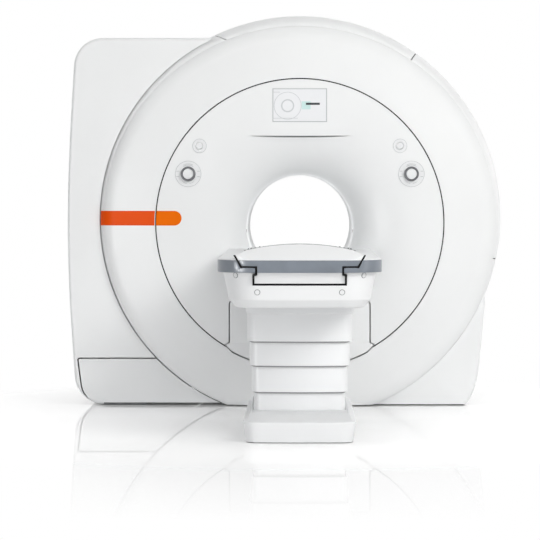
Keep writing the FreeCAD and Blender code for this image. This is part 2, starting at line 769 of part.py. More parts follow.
def make_cabinet():
    wall = D["BodyWall"]
    front, rear = -D["CabinetFront"], D["CabinetRear"]
    outside = rounded(prism("XZ_Plane", cabinet_outline(0, D["FloorGap"]), front, rear),
                      D["CabinetCorner"], outer_corner)
    inside = rounded(prism("XZ_Plane", cabinet_outline(wall, D["FloorGap"] + wall),
                           front + wall, rear - wall), D["CabinetCorner"] - wall, outer_corner)
    open_bottom = block((-D["CabinetTopSide"] + D["CabinetCorner"], -HIDDEN - wall),
                        (front + wall, rear - wall), (-50, D["FloorGap"] + wall + 1))
    room = join(inside, open_bottom)
    body_gap = 3
    shell = cut(outside, room, body_solid(as_size(-body_gap)))
    depth = (front - 1, front + wall + 1)
    node("cabinet_cover", cut(shell, kick_panel(D["DockGap"], depth)))
    node("kick_panel", overlap(shell, kick_panel(as_size(0), depth)))

    tray_inner, tray_inset = -860, 40
    tray = block((-1300, tray_inner), (front + tray_inset, rear - tray_inset), (0, D["FrameTop"]))
    node("cabinet_frame", overlap(tray, room))
    rack_inner, rack_low, rack_deep = -1150, 140, (-400, 520)
    plinth = block((rack_inner - 45, rack_inner), rack_deep, (D["FrameTop"], rack_low + 1))
    rack = block((rack_inner - 100, rack_inner), rack_deep, (rack_low, 1900))
    node("electronics_rack", join(rack, plinth))


def make_brackets():
    """Posts that carry the ring covers and the side covers on the vacuum vessel."""
    posts, post_ring = [], 795
    for side in (-1, 1):
        ends = sorted([D["VesselHalf"] * side, face(side, D["FlangeDepth"])],
                      key=lambda size: size.value)
        posts += [rod("y", polar(post_ring, degrees, D["RingHeight"]), D["StrutRadius"], *ends)
                  for degrees in DIAGONALS]
    inside = rod("y", (0, D["BodyHeight"]), D["BodyRadius"] - D["BodyWall"], -700, 700)
    vessel = rod("y", (0, D["BoreHeight"]), D["VesselRadius"], -700, 700)
    posts += [cut(overlap(spoke(degrees, 0, D["StrutRadius"], 1400), inside), vessel)
              for degrees in (-20, 20, 75, 160, 205)]
    node("cover_brackets", group(*posts))


# ---------------------------------------------------------------- table

SHOULDER_STEPS = 6
HULL_LEVELS = ((94, 0), (72, 10), (54, 38), (26, 169))


def plan(inset, low, high):
    """The table housing seen from above, with its two rounded front corners."""
    slab = block((-D["TableHalf"] + inset, D["TableHalf"] - inset),
                 (-D["TableFront"] + inset, -D["TableRear"]), (low, high))

    def front_corner(edge):
        return upright(edge) and edge.BoundBox.YMax < -D["TableFront"].value + as_size(inset).value + 1

    return rounded(slab, D["TableCorner"] - inset, front_corner)


def plan_corners(inset):
    """Corners of the housing's outline seen from above, moved in by inset."""
    centre = (D["TableHalf"] - D["TableCorner"], -D["TableFront"] + D["TableCorner"])
    shoulder = rounded_corner(centre, D["TableCorner"] - inset, 0, -90, SHOULDER_STEPS)
    return mirrored([(D["TableHalf"] - inset, -D["TableRear"])] + shoulder)


def hull(wall):
    """The tapered underside of the housing, moved in by wall on every side."""
    return [level(plan_corners(inset + wall), D["HousingLow"] + rise + wall * (rise == 0))
            for inset, rise in HULL_LEVELS]


def cap_outline(gap):
    """Half outline of the end cap in its channel; gap moves it out."""
    edge, notch, wing, wing_height, notch_height, arch_bend = 211, 198, 270, 897, 799, 2214
    arch = [(300 + gap, wing_height + gap)]
    for side in (249, 186, 124, 62):
        arch.append((side, D["ArchHeight"] - side * side / arch_bend + gap))
    arch.append((1, D["ArchHeight"] + gap))
    ledge = D["LedgeHeight"] + D["SlideGap"] - gap
    floor = D["ChannelLow"] + D["SlideGap"] - gap
    return [(as_size(edge) + gap, floor), (as_size(edge) + gap, notch_height + gap),
            (as_size(notch) + gap, notch_height + 4 + gap), (as_size(notch) + gap, ledge),
            (as_size(wing) + gap, ledge)] + arch


def channel_outline():
    """Half outline of the channel behind its lip, with straight walls up to the ledge."""
    lip = cap_outline(D["SlideGap"])
    return [lip[0], (lip[0][0], D["LedgeHeight"])] + lip[4:]


def screw_cap(across, height):
    """A round cap that sits square on the housing's tapered, rounded front."""
    (low_inset, low_rise), (top_inset, top_rise) = HULL_LEVELS[-2:]
    taper = math.atan2(low_inset - top_inset, top_rise - low_rise)
    below = D["HousingLow"].value + top_rise - height
    shoulder = D["TableCorner"].value
    radius = shoulder - top_inset - below * math.tan(taper)
    beyond = max(0, abs(across) - (D["TableHalf"].value - shoulder))
    turn = math.asin(beyond / radius)
    side = math.copysign(math.sin(turn), across)
    outward = V(side * math.cos(taper), -math.cos(turn) * math.cos(taper), -math.sin(taper))
    cap_radius, cap_thick, sunk = 11, 12, 10
    base = V(across, 0, height) - outward * sunk
    cap = doc.addObject("Part::Cylinder", "cap")
    cap.Radius = cap_radius
    cap.Height = cap_thick
    cap.Placement = FreeCAD.Placement(base, FreeCAD.Rotation(V(0, 0, 1), outward))
    bind(cap, "Placement.Base.y", -D["TableFront"] + (shoulder - radius * math.cos(turn) + base.y))
    return cap


def housing_room(front, rear):
    """The hollow under the housing's guide channel."""
    wall = D["HousingWall"] * 1.25
    roof = level(plan_corners(D["BandDepth"] + wall), D["BandTop"] - D["HousingWall"])
    inside = overlap(stacked(hull(wall) + [roof]),
                     block((-400, 400), (front + 2 * wall, rear - D["HousingWall"]), (600, 900)))
    half, ledge_half = 228, 288
    channel = prism("XZ_Plane", mirrored([
        (half, D["ChannelLow"] - D["HousingWall"]), (half, 826), (ledge_half, 826),
        (ledge_half + 20, 900)]), front, rear)
    return cut(inside, channel)


def make_housing(band_space, cap_space):
    front, rear = -D["TableFront"], -D["TableRear"]
    outside = join(stacked(hull(as_size(0))), plan(0, D["BandLow"], D["RimHeight"]))
    node("table_housing", cut(outside, band_space, cap_space, housing_room(front, rear)))
    spots = ((-300, 803), (300, 803), (-198, 724), (198, 724))
    caps = [screw_cap(across, height) for across, height in spots]
    node("screw_caps", cut(group(*caps), outside))


def make_tabletop():
    """The tabletop with its keel in the channel, and its glide strips."""
    front, rear, gap = -D["TableFront"], -D["TableRear"], D["SlideGap"]
    keel, keel_deep, shoulder, rim, lip, edge = 196, 33, 240, 15, 10, 24
    under = D["LedgeHeight"] + gap
    top = mirrored([(keel, D["LedgeHeight"] - keel_deep), (keel, under), (shoulder, under),
                    (D["TopHalf"], D["TopHeight"] - edge), (D["TopHalf"], D["TopHeight"]),
                    (D["TopHalf"] - rim, D["TopHeight"]),
                    (D["TopHalf"] - 2 * rim, D["TopHeight"] - lip)])
    node("tabletop", prism("XZ_Plane", top, front + D["CapDepth"], rear - 50))
    strip_side, strip_half = 230, 10
    strips = [block((side - strip_half, side + strip_half), (front + 150, rear - 20),
                    (D["LedgeHeight"], under - 0.5)) for side in (-strip_side, strip_side)]
    node("glide_strips", group(*strips))


def make_end_cap(band_space, cap_body):
    front, high, across = -D["TableFront"], 1000, 350
    node("end_cap_bumper", overlap(band_space, cap_body))
    slope_deep = 100
    slope = prism("YZ_Plane", [(front - 2, D["BandTop"]), (front, D["BandTop"]),
                               (front + slope_deep, D["ArchHeight"]), (front + slope_deep, high),
                               (front - 2, high)], -across, across)
    outside = join(stacked(hull(as_size(0))), plan(0, D["BandLow"], high))
    node("end_cap", cut(overlap(cap_body, outside), band_space, slope))


def make_table():
    front, rear = -D["TableFront"], -D["TableRear"]
    band_space = cut(plan(0, D["BandLow"], D["BandTop"]),
                     plan(D["BandDepth"], D["BandLow"] - 1, D["BandTop"] + 1))
    cap_body = prism("XZ_Plane", mirrored(cap_outline(as_size(0))), front - 1,
                     front + D["CapDepth"])
    lip = prism("XZ_Plane", mirrored(cap_outline(D["SlideGap"])), front - 1,
                front + D["ChannelLip"] + 1)
    channel = prism("XZ_Plane", mirrored(channel_outline()), front + D["ChannelLip"], rear + 1)
    cap_space = join(lip, channel)
    make_housing(band_space, cap_space)
    for name, half in (("table_bumper_left", (-D["TableHalf"] - 1, 0)),
                       ("table_bumper_right", (0, D["TableHalf"] + 1))):
        part = overlap(band_space, block(half, (front - 1, rear), (700, 950)))
        node(name, cut(part, cap_space))
    make_end_cap(band_space, cap_body)
    make_tabletop()


# ---------------------------------------------------------------- column and foot

def shaft(step, grow, bottom, top):
    """A rounded column; step counts from the outermost section, grow widens it."""
    inset = D["ColumnStep"] * step - grow
    slab = block((-D["ColumnHalf"] + inset, D["ColumnHalf"] - inset),
                 (-D["ColumnFront"] + inset, -D["ColumnRear"] - inset), (bottom, top))
    return rounded(slab, D["ColumnCorner"] - inset * 0.3, upright)


def column_section(step, low, high):
    return cut(shaft(step, 0, low, high),
               shaft(step, -D["ColumnWall"], as_size(low) - 1, as_size(high) + 1))


def make_column():
    for name, step, low, high in (("skirt_third", 1, 339, 494), ("skirt_second", 2, 209, 369),
                                  ("skirt_lower", 3, D["PlateTop"], 240)):
        node(name, column_section(step, low, high))
    upper_low, collar_low, collar_out = 459, 600, 8
    collar = cut(shaft(0, collar_out, collar_low, D["HousingLow"]),
                 shaft(0, -D["ColumnWall"], collar_low - 1, D["HousingLow"] + 1))
    node("skirt_upper", join(column_section(0, upper_low, D["HousingLow"]), collar))

    cylinders, middles, rods = [], [], []
    for spot in ((0, -2250), (0, -1850)):
        cylinders.append(tube("z", spot, 70, 62, D["PlateTop"], 270))
        middles.append(tube("z", spot, 61.5, 54, 200, 450))
        rods.append(rod("z", spot, 53.5, 400, D["HousingLow"]))
    node("lift_cylinders", group(*cylinders))
    node("lift_middle_tubes", group(*middles))
    node("lift_rods", group(*rods))


def foot_corners(inset):
    """The foot's outline seen from above, moved in by inset, with four rounded corners."""
    radius = D["FootCorner"] - inset
    across = D["FootHalf"] - D["FootCorner"]
    front, rear = -D["FootFront"] + D["FootCorner"], -D["FootRear"] - D["FootCorner"]
    return mirrored(rounded_corner((across, rear), radius, 90, 0, 3)
                    + rounded_corner((across, front), radius, 0, -90, 3))


def foot_solid(inset, low, top):
    """The foot's flaring form between two heights, with its sloping top edge."""
    edge, slope = D["FootEdge"] - inset, 12
    return stacked([level(foot_corners(D["FootTaper"] + inset), low),
                    level(foot_corners(inset), edge), level(foot_corners(inset + slope), top)])


def make_foot():
    wall = D["FootWall"]
    inside = foot_solid(wall, -1, D["FootTop"] - 2 * wall)
    inset = D["ColumnStep"] * 3 - 2
    well = block((-D["ColumnHalf"] + inset, D["ColumnHalf"] - inset),
                 (-D["ColumnFront"] + inset, -D["ColumnRear"] - inset), (90, 200))
    node("foot_cover", cut(foot_solid(as_size(0), 0, D["FootTop"]), inside, well))
    node("table_base_plate", overlap(inside, block((-400, 400), (-3000, -1000),
                                                   (0, D["PlateTop"]))))


make_base()
make_magnet()
make_bore()
make_front_cover()
make_rear_cover()
make_ring_covers()
make_strips()
make_display()
for hand, label in ((-1, "left"), (1, "right")):
    make_dial(hand, label)
    make_button(hand, label)
make_side_covers()
make_cabinet()
make_brackets()
make_table()
make_column()
make_foot()
doc.recompute()

faulty = [thing.Name for thing in doc.Objects
          if "Invalid" in thing.State or "Error" in thing.State]
for thing in nodes:
    if thing.Shape.isNull() or not thing.Shape.isValid() or not thing.Shape.Solids:
        faulty.append(thing.Label)
if faulty:
    raise SystemExit(f"failed: {faulty}")

os.makedirs("parts", exist_ok=True)
for thing in nodes:
    thing.Shape.exportStep(os.path.join("parts", thing.Label + ".step"))
    print(f"{thing.Label:24s} solids {len(thing.Shape.Solids):2d}"
          f"  litres {thing.Shape.Volume / 1e6:9.3f}")
print(len(nodes), "nodes")
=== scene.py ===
import bmesh
import bpy
import json
import math
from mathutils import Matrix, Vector


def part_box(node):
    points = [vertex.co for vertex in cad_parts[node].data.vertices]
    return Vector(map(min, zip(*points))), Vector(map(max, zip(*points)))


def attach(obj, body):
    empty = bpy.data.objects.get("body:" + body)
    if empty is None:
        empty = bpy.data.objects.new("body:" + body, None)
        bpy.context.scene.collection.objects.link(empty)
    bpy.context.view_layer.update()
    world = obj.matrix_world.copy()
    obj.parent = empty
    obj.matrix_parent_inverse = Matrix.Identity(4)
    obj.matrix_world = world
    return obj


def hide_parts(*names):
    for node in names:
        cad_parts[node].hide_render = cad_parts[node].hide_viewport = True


# Magnetic resonance scanner with its patient table. Metres, Z up, the camera looks along +Y.

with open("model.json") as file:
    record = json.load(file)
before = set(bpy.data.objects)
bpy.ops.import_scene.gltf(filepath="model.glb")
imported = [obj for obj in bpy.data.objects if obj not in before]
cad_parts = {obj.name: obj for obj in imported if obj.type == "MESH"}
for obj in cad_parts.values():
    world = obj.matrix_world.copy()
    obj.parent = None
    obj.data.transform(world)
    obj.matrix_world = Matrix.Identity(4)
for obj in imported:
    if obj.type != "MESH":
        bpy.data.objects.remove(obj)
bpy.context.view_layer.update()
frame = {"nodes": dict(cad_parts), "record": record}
nodes = frame["nodes"]
body_of_node = {node: body for body, members in frame["record"]["behaviour"]["bodies"].items()
                for node in members}
slot_of_node = {part["node"]: part["material_slot"] for part in frame["record"]["subparts"]}

# -------- sizes

# _Z is the height of a centre, _R a radius; a depth is minus in front and plus at the rear.
# The bore, the flat disc and the sloping ring, and the funnel:
BORE_Z, BORE_R = 0.995, 0.300
RING_Z, DISC_R, RING_INNER, RING_R = 1.022, 0.7955, 0.8015, 1.095
CONE_R, CONE_DROP, RING_END = 1.013, 0.042, 0.090
FACE = 0.780
BELL_R, BELL_DEPTH = 0.640, 0.220
BROW_Z = 1.504
# the side covers, which are rounded over BODY_ROUND behind their front edge:
BODY_Z, BODY_R = 1.052, 1.1275
BODY_FRONT, BODY_START_R, BODY_ROUND = 0.688, 1.0925, 0.150
WALL, COVER_EDGE = 0.006, 0.0015
FLOOR_GAP, PANEL_GAP = 0.006, 0.007
AHEAD = -0.9  # in front of the covers, where cuts through them start
ROUND = 256


# -------- mesh helpers

def make_object(name, data):
    item = bpy.data.objects.new(name, data)
    bpy.context.scene.collection.objects.link(item)
    return item


def edit_mesh(mesh, change):
    """Runs change on the mesh as a bmesh and writes the result back."""
    work = bmesh.new()
    work.from_mesh(mesh)
    change(work)
    work.to_mesh(mesh)
    work.free()


def turn_outward(work):
    bmesh.ops.recalc_face_normals(work, faces=work.faces)


def split_level(work, height, **settings):
    """Splits the faces of a bmesh along a level plane."""
    return bmesh.ops.bisect_plane(work, geom=work.verts[:] + work.edges[:] + work.faces[:],
                                  plane_co=(0, 0, height), plane_no=(0, 0, 1), **settings)


def build(name, points, faces):
    mesh = bpy.data.meshes.new(name)
    mesh.from_pydata([tuple(p) for p in points], [], faces)
    edit_mesh(mesh, turn_outward)
    return make_object(name, mesh)


def smooth(item, degrees=32):
    item.data.shade_smooth()
    item.data.set_sharp_from_angle(angle=math.radians(degrees))


def flatten(item):
    """Turns an object's modifiers into its mesh."""
    graph = bpy.context.evaluated_depsgraph_get()
    done = bpy.data.meshes.new_from_object(item.evaluated_get(graph))
    item.modifiers.clear()
    item.data = done
    return item


def bevel(item, width, segments=3, degrees=30):
    modifier = item.modifiers.new("edge", "BEVEL")
    modifier.width = width
    modifier.segments = segments
    modifier.limit_method = "ANGLE"
    modifier.angle_limit = math.radians(degrees)
    modifier.miter_outer = "MITER_ARC"
    return flatten(item)


def carve(item, tool):
    """Cuts the tool's form out of the item and deletes the tool."""
    modifier = item.modifiers.new("carve", "BOOLEAN")
    modifier.operation = "DIFFERENCE"
    modifier.solver = "EXACT"
    modifier.object = tool
    flatten(item)
    bpy.data.objects.remove(tool)


def slab(name, low, high):
    """A box between two corners, for cutting with."""
    corners = [(x, y, z) for x in (low[0], high[0]) for y in (low[1], high[1])
               for z in (low[2], high[2])]
    faces = [(0, 1, 3, 2), (4, 6, 7, 5), (0, 4, 5, 1), (2, 3, 7, 6), (0, 2, 6, 4), (1, 5, 7, 3)]
    return build(name, corners, faces)


def rings(name, loops, ends="capped"):
    """Closed loops of points in a row, whose ends are capped, open or joined."""
    count = len(loops[0])
    points = [p for loop in loops for p in loop]
    faces = []
    for level in range(len(loops) - (ends != "joined")):
        a, b = level * count, (level + 1) % len(loops) * count
        faces += [(a + j, a + (j + 1) % count, b + (j + 1) % count, b + j) for j in range(count)]
    if ends == "capped":
        faces += [tuple(range(count)), tuple(range(len(points) - count, len(points)))]
    return build(name, points, faces)


def lathe(name, loop, steps=ROUND, x=0.0):
    """A closed loop of (depth, radius, centre height) turned about a line along Y."""
    loops = []
    for k in range(steps):
        angle = 2 * math.pi * k / steps
        loops.append([(x + radius * math.cos(angle), depth, height + radius * math.sin(angle))
                      for depth, radius, height in loop])
    return rings(name, loops, "joined")


def arc(centre, radius, first, last, steps):
    """Points on an arc in a plane, angles in degrees."""
    for k in range(steps + 1):
        angle = math.radians(first + (last - first) * k / steps)
        yield centre[0] + radius * math.cos(angle), centre[1] + radius * math.sin(angle)


def circle(centre, radius, steps=ROUND):
    return list(arc(centre, radius, 0, 360, steps))[:-1]


def quarter(steps):
    """Angles over a quarter turn."""
    return [math.radians(90 * k / steps) for k in range(steps + 1)]


def mirrored(right):
    """The right half of an outline with its mirror image."""
    return right + [(-x, other) for x, other in reversed(right) if x > 0]


def grid(rows, width):
    """Faces between rows of points, each of the same width."""
    return [(a, a + 1, a + width + 1, a + width) for k in range(rows - 1)
            for a in range(k * width, (k + 1) * width - 1)]


def cut_at_floor(item, fill=True):
    """Takes off what lies lower than the gap over the floor."""
    def cut(work):
        level = split_level(work, FLOOR_GAP, clear_inner=True)
        if fill:
            rim = [e for e in level["geom_cut"] if isinstance(e, bmesh.types.BMEdge)]
            bmesh.ops.holes_fill(work, edges=rim)
        turn_outward(work)

    edit_mesh(item.data, cut)
    return item


def detail(item, name, body, slot, material=None, degrees=32):
    """A piece of the scene's own that belongs to a body."""
    smooth(item, degrees)
    item.name = name
    item.data.materials.clear()
    item.data.materials.append(MATERIALS[material or slot])
    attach(item, body)


def stands_for(item, node, degrees=32, also=()):
    """item takes the place of a CAD node, on its body and in its material slot."""
    detail(item, node + "_form", body_of_node[node], slot_of_node[node], degrees=degrees)
    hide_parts(node, *also)


def soften(node, width, segments=3):
    """The node's own form with its sharp edges rounded."""
    def weld(work):
        bmesh.ops.remove_doubles(work, verts=work.verts, dist=1e-5)
        bmesh.ops.dissolve_limit(work, angle_limit=math.radians(0.6), verts=work.verts,
                                 edges=work.edges)

    mesh = nodes[node].data.copy()
    edit_mesh(mesh, weld)
    stands_for(bevel(make_object(node, mesh), width, segments), node)


def plate(name, outline, near, far):
    """An outline of (x, z) corners between two depths."""
    return rings(name, [[(x, y, z) for x, z in outline] for y in (near, far)])


def grown(outline, gap):
    """The outline moved out by gap, with its sharpest corners held back."""
    area = sum(a[0] * b[1] - b[0] * a[1] for a, b in zip(outline, outline[1:] + outline[:1]))
    turn = 1 if area > 0 else -1
    sharpest = 0.35
    result = []
    for k, spot in enumerate(outline):
        before, here = Vector(outline[k - 1]), Vector(spot)
        after = Vector(outline[(k + 1) % len(outline)])
        first = (here - before).normalized()
        second = (after - here).normalized()
        out = Vector((first.y + second.y, -first.x - second.x)) * turn
        length = max(sharpest, out.length / 2)
        result.append(tuple(here + out.normalized() * gap / length))
    return result


# -------- materials

def add_node(tree, kind, inputs=None, **settings):
    """A node with each input set to a value or linked to the output of another node."""
    item = tree.nodes.new(kind)
    for key, value in settings.items():
        setattr(item, key, value)
    for key, value in (inputs or {}).items():
        if isinstance(value, bpy.types.NodeSocket):
            tree.links.new(value, item.inputs[key])
        else:
            item.inputs[key].default_value = value
    return item


class Shader:
    """A Principled material that is put together node by node."""

    def __init__(self, name, color, rough, metal=0.0, specular=0.5):
        self.material = bpy.data.materials.new(name)
        self.material.use_nodes = True
        self.tree = self.material.node_tree
        self.base = self.tree.nodes["Principled BSDF"]
        for key, value in (("Base Color", (*color, 1)), ("Roughness", rough),
                           ("Metallic", metal), ("Specular IOR Level", specular)):
            self.base.inputs[key].default_value = value
        self.place = self.add("ShaderNodeTexCoord").outputs["Object"]

    def add(self, kind, inputs=None, **settings):
        return add_node(self.tree, kind, inputs, **settings)

    def noise(self, scale, detail=3.0, stretch=None):
        place = self.place
        if stretch:
            mapping = self.add("ShaderNodeMapping", {"Vector": place, "Scale": stretch})
            place = mapping.outputs["Vector"]
        return self.add("ShaderNodeTexNoise", {"Vector": place, "Scale": scale,
                                               "Detail": detail}).outputs["Fac"]

    def between(self, source, low, high, start=0.3, end=0.7):
        """Maps a value onto a range."""
        spread = self.add("ShaderNodeMapRange", {"Value": source, "From Min": start,
                                                 "From Max": end, "To Min": low, "To Max": high})
        return spread.outputs["Result"]

    def math(self, operation, *values):
        return self.add("ShaderNodeMath", dict(enumerate(values)), operation=operation).outputs[0]

    def vector(self, operation, *values):
        """A step with vectors; the length and the distance are numbers."""
        item = self.add("ShaderNodeVectorMath", dict(enumerate(values)), operation=operation)
        return item.outputs["Value" if operation in ("LENGTH", "DISTANCE") else "Vector"]

    def emission(self, strength):
        return self.add("ShaderNodeEmission", {"Strength": strength})

    def blend(self, share, first, second):
        """Mixes the outputs of two shader nodes."""
        return self.add("ShaderNodeMixShader", {"Fac": share, 1: first.outputs[0],
                                                2: second.outputs[0]})

    def finish(self, tones, first, second, gloss, low, high, grain, strength, distance):
        """Gives the surface two tones, a range of roughness and a relief, each by a noise."""
        color_a, color_b = 6, 7  # by number, as the node has more inputs of these names
        mixed = self.add("ShaderNodeMix", {"Factor": self.between(tones, 0.0, 1.0),
                                           color_a: (*first, 1), color_b: (*second, 1)},
                         data_type="RGBA")
        relief = self.add("ShaderNodeBump", {"Strength": strength, "Distance": distance,
                                             "Height": grain})
        color = [s for s in mixed.outputs if s.type == "RGBA"][0]
        for source, key in ((color, "Base Color"), (self.between(gloss, low, high), "Roughness"),
                            (relief.outputs["Normal"], "Normal")):
            self.tree.links.new(source, self.base.inputs[key])
        return self.material


def shaded(color, share):
    return tuple(min(1, c * share) for c in color)


def satin_paint(name, color, rough=0.38, grain=420.0, specular=0.5):
    """Painted moulding: faint orange peel, faint clouds in tone and gloss."""
    shader = Shader(name, color, rough, specular=specular)
    return shader.finish(shader.noise(2.2, 4.0), shaded(color, 0.975), color,
                         shader.noise(9.0, 5.0), rough - 0.04, rough + 0.06,
                         shader.noise(grain, 2.0), 0.05, 0.0004)


def rubber(name, color):
    """Soft bumper: a fine even grain with a dull sheen."""
    shader = Shader(name, color, 0.34, specular=0.8)
    return shader.finish(shader.noise(14.0, 4.0), color, shaded(color, 1.18),
                         shader.noise(35.0, 3.0), 0.31, 0.34,
                         shader.noise(900.0, 2.0), 0.03, 0.0002)


def metal(name, color, rough, stretch=(1, 1, 40)):
    """Rolled or brushed metal with its grain along one way."""
    shader = Shader(name, color, rough, metal=1.0)
    lines = shader.noise(30.0, 4.0, stretch)
    return shader.finish(lines, shaded(color, 0.85), color, lines, rough - 0.08, rough + 0.1,
                         lines, 0.06, 0.0003)


def resin(name, color):
    """Wound fibre or wire, cast in resin."""
    shader = Shader(name, color, 0.5)
    turns = shader.noise(60.0, 3.0, (1, 8, 1))
    return shader.finish(turns, shaded(color, 0.7), color, turns, 0.4, 0.6, turns, 0.3, 0.001)


WHITE = (0.86, 0.87, 0.875)
# each surface by its name, with its colour and the other settings of what it is made of;
# a material slot has the surface of its own name
SURFACES = {
    satin_paint: {
        "cover_white": (WHITE,),
        "control_white": ((0.82, 0.83, 0.84), 0.32, 800.0),
        "control_dark": ((0.15, 0.155, 0.165), 0.4, 900.0),
        "display_glass": ((0.75, 0.77, 0.82), 0.12, 50.0),
        "laser_window": ((0.30, 0.18, 0.18), 0.15, 300.0),
        "accent_orange": ((0.86, 0.085, 0.0008), 0.35, 900.0, 0.08),
        "accent_orange_light": ((0.88, 0.16, 0.001), 0.35, 900.0, 0.08),
        "table_white": ((0.85, 0.86, 0.87),),
        "tabletop": ((0.74, 0.76, 0.78), 0.45, 300.0),
        "glide": ((0.55, 0.55, 0.52), 0.5, 700.0),
        "liner": (WHITE, 0.35, 300.0),
        "frame_steel": ((0.10, 0.11, 0.12), 0.5, 500.0),
        # near black for the strips that stand in the seams as painted shade
        "black_seal": ((0.008, 0.008, 0.009), 0.6, 500.0, 0.12),
        "ring_grey": ((0.26, 0.27, 0.28), 0.5, 300.0),
        # grey of the strips that stand as painted shade under the column sections' edges
        "wiper": ((0.27, 0.27, 0.275), 0.6, 500.0),
        "print_grey": ((0.50, 0.52, 0.53), 0.5, 300.0),
        "print_dark": ((0.03, 0.035, 0.04), 0.4, 300.0),
        "screen_ground": ((0.86, 0.87, 0.89), 0.15, 60.0),
        "screen_grey": ((0.62, 0.64, 0.66), 0.15, 60.0),
        "screen_teal": ((0.62, 0.82, 0.80), 0.15, 60.0),
    },
    rubber: {"bumper_grey": ((0.145, 0.167, 0.198),)},
    metal: {
        "magnet_steel": ((0.62, 0.63, 0.64), 0.32),
        "shield_aluminium": ((0.80, 0.81, 0.82), 0.28),
        "rack": ((0.60, 0.61, 0.62), 0.4, (1, 1, 20)),
        "lift_steel": ((0.70, 0.71, 0.73), 0.2),
    },
    resin: {
        "coil_winding": ((0.45, 0.20, 0.09),),
        "strut": ((0.40, 0.36, 0.16),),
        "coil_resin": ((0.42, 0.17, 0.06),),
    },
}
MATERIALS = {name: make(name, *look) for make, looks in SURFACES.items()
             for name, look in looks.items()}
for name, item in nodes.items():
    item.data.materials.clear()
    item.data.materials.append(MATERIALS[slot_of_node[name]])
    smooth(item)


# -------- front and rear covers

def disc_edge(side):
    """Section of the disc's rounded edge, from its rim to its face."""
    edge = 0.003
    return [(side * (FACE - edge * (1 - math.cos(a))), DISC_R - edge * (1 - math.sin(a)), RING_Z)
            for a in reversed(quarter(4))]


def bell_depth(radius):
    """Depth of the funnel's surface at a distance from its middle."""
    inward = min(1.0, max(0.0, (BELL_R - radius) / (BELL_R - BORE_R)))
    return BELL_DEPTH * (1 - math.sqrt(1 - inward ** 2))


def bell_loop(side, wall=0.0):
    """Section of the funnel from the flat disc to the bore, or of the back of its wall."""
    return [(side * (FACE - wall - BELL_DEPTH * (1 - math.cos(a))),
             BELL_R - (BELL_R - BORE_R) * math.sin(a) + wall,
             RING_Z - (RING_Z - BORE_Z) * math.sin(a)) for a in quarter(44)]


def funnel(side):
    """Disc and funnel, with a rim turned back along the seam."""
    rim = 0.035
    back = [(side * (FACE - WALL), DISC_R - WALL, RING_Z),
            (side * (FACE - rim), DISC_R - WALL, RING_Z),
            (side * (FACE - rim), DISC_R, RING_Z)]
    return lathe("funnel", disc_edge(side) + bell_loop(side) + bell_loop(side, WALL)[::-1] + back)


def raise_brow(cover):
    """Brings the funnel's surface above a level line up to the flat face."""
    step, full, none = 0.003, 0.16, 0.315

    def lift(work):
        for height in (BROW_Z, BROW_Z - step):
            split_level(work, height)
        for vert in work.verts:
            if vert.co.z > BROW_Z - step / 2:
                fade = min(1.0, max(0.0, (none - abs(vert.co.x)) / (none - full)))
                fade = fade * fade * (3 - 2 * fade)
                radius = math.hypot(vert.co.x, vert.co.z - RING_Z)
                vert.co.y -= bell_depth(radius) * fade

    edit_mesh(cover.data, lift)


def dock_outline():
    """The docking panel seen from the front, with its flared lower corners."""
    half, top, corner = 0.387, 0.583, 0.012
    lower_half, reach, steps = 0.3715, DISC_R + 0.0105, 12
    right = [(half - corner, top), (half - corner * 0.3, top - corner * 0.3),
             (half, top - corner), (half, 0.356), (0.409, 0.345)]
    for k in range(steps + 1):
        x = lower_half * (1 - k / steps)
        right.append((x, RING_Z - math.sqrt(reach ** 2 - x ** 2)))
    return mirrored(right)


def dock_hole(back=-0.70):
    """The docking panel's place with its gap all round, for cutting with."""
    return plate("dock", grown(dock_outline(), PANEL_GAP), AHEAD, back)


def brow_slot():
    """The slot under the brow seen from the front: straight above, bowed below."""
    half, tall = 0.272, 0.0068
    return mirrored([(half, BROW_Z + 0.0002)] + [
        (x, BROW_Z - tall * math.sqrt(1 - (x / half) ** 2))
        for x in (0.26, 0.24, 0.2, 0.14, 0.07, 0.0)])


def front_funnel():
    """Disc and funnel with the brow, cut out for the panel, the display and the controls."""
    behind_display, behind_hole = -0.735, -0.74
    cover = funnel(-1)
    raise_brow(cover)
    carve(cover, dock_hole())
    low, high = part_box("display_frame")
    carve(cover, slab("window", (low.x, AHEAD, low.z), (high.x, behind_display, high.z)))
    carve(cover, plate("slot", brow_slot(), AHEAD, behind_display))
    for side in ("left", "right"):
        for node, radius in (("dial_bezel_", 0.027), ("button_rim_", 0.022)):
            low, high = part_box(node + side)
            middle = (low + high) / 2
            carve(cover, plate("hole", circle((middle.x, middle.z), radius, 64), AHEAD,
                               behind_hole))
    stands_for(cover, "funnel_cover_front", also=["disc_cover_front"])


def round_covers():
    front_funnel()
    stands_for(funnel(1), "funnel_cover_rear", also=["disc_cover_rear"])
    disc_gap_shade()
    ring = cut_at_floor(lathe("ring", ring_loop(-1)))
    carve(ring, dock_hole(-0.748))
    stands_for(ring, "ring_cover_front")
    stands_for(cut_at_floor(lathe("ring", ring_loop(1))), "ring_cover_rear")
    docking_panel()


def docking_panel():
    """The panel below the bore, and the shelf behind its upper edge."""
    panel = plate("panel", dock_outline(), -FACE, -FACE + WALL)
    bevel(panel, COVER_EDGE, 2, 40)
    stands_for(panel, "docking_panel")
    half, top, ledge = 0.385, 0.582, 0.049
    shelf = slab("dock_shelf", (-half, -FACE + WALL, top - WALL), (half, -FACE + ledge, top))
    detail(shelf, "dock_shelf", "root", "cover_white")


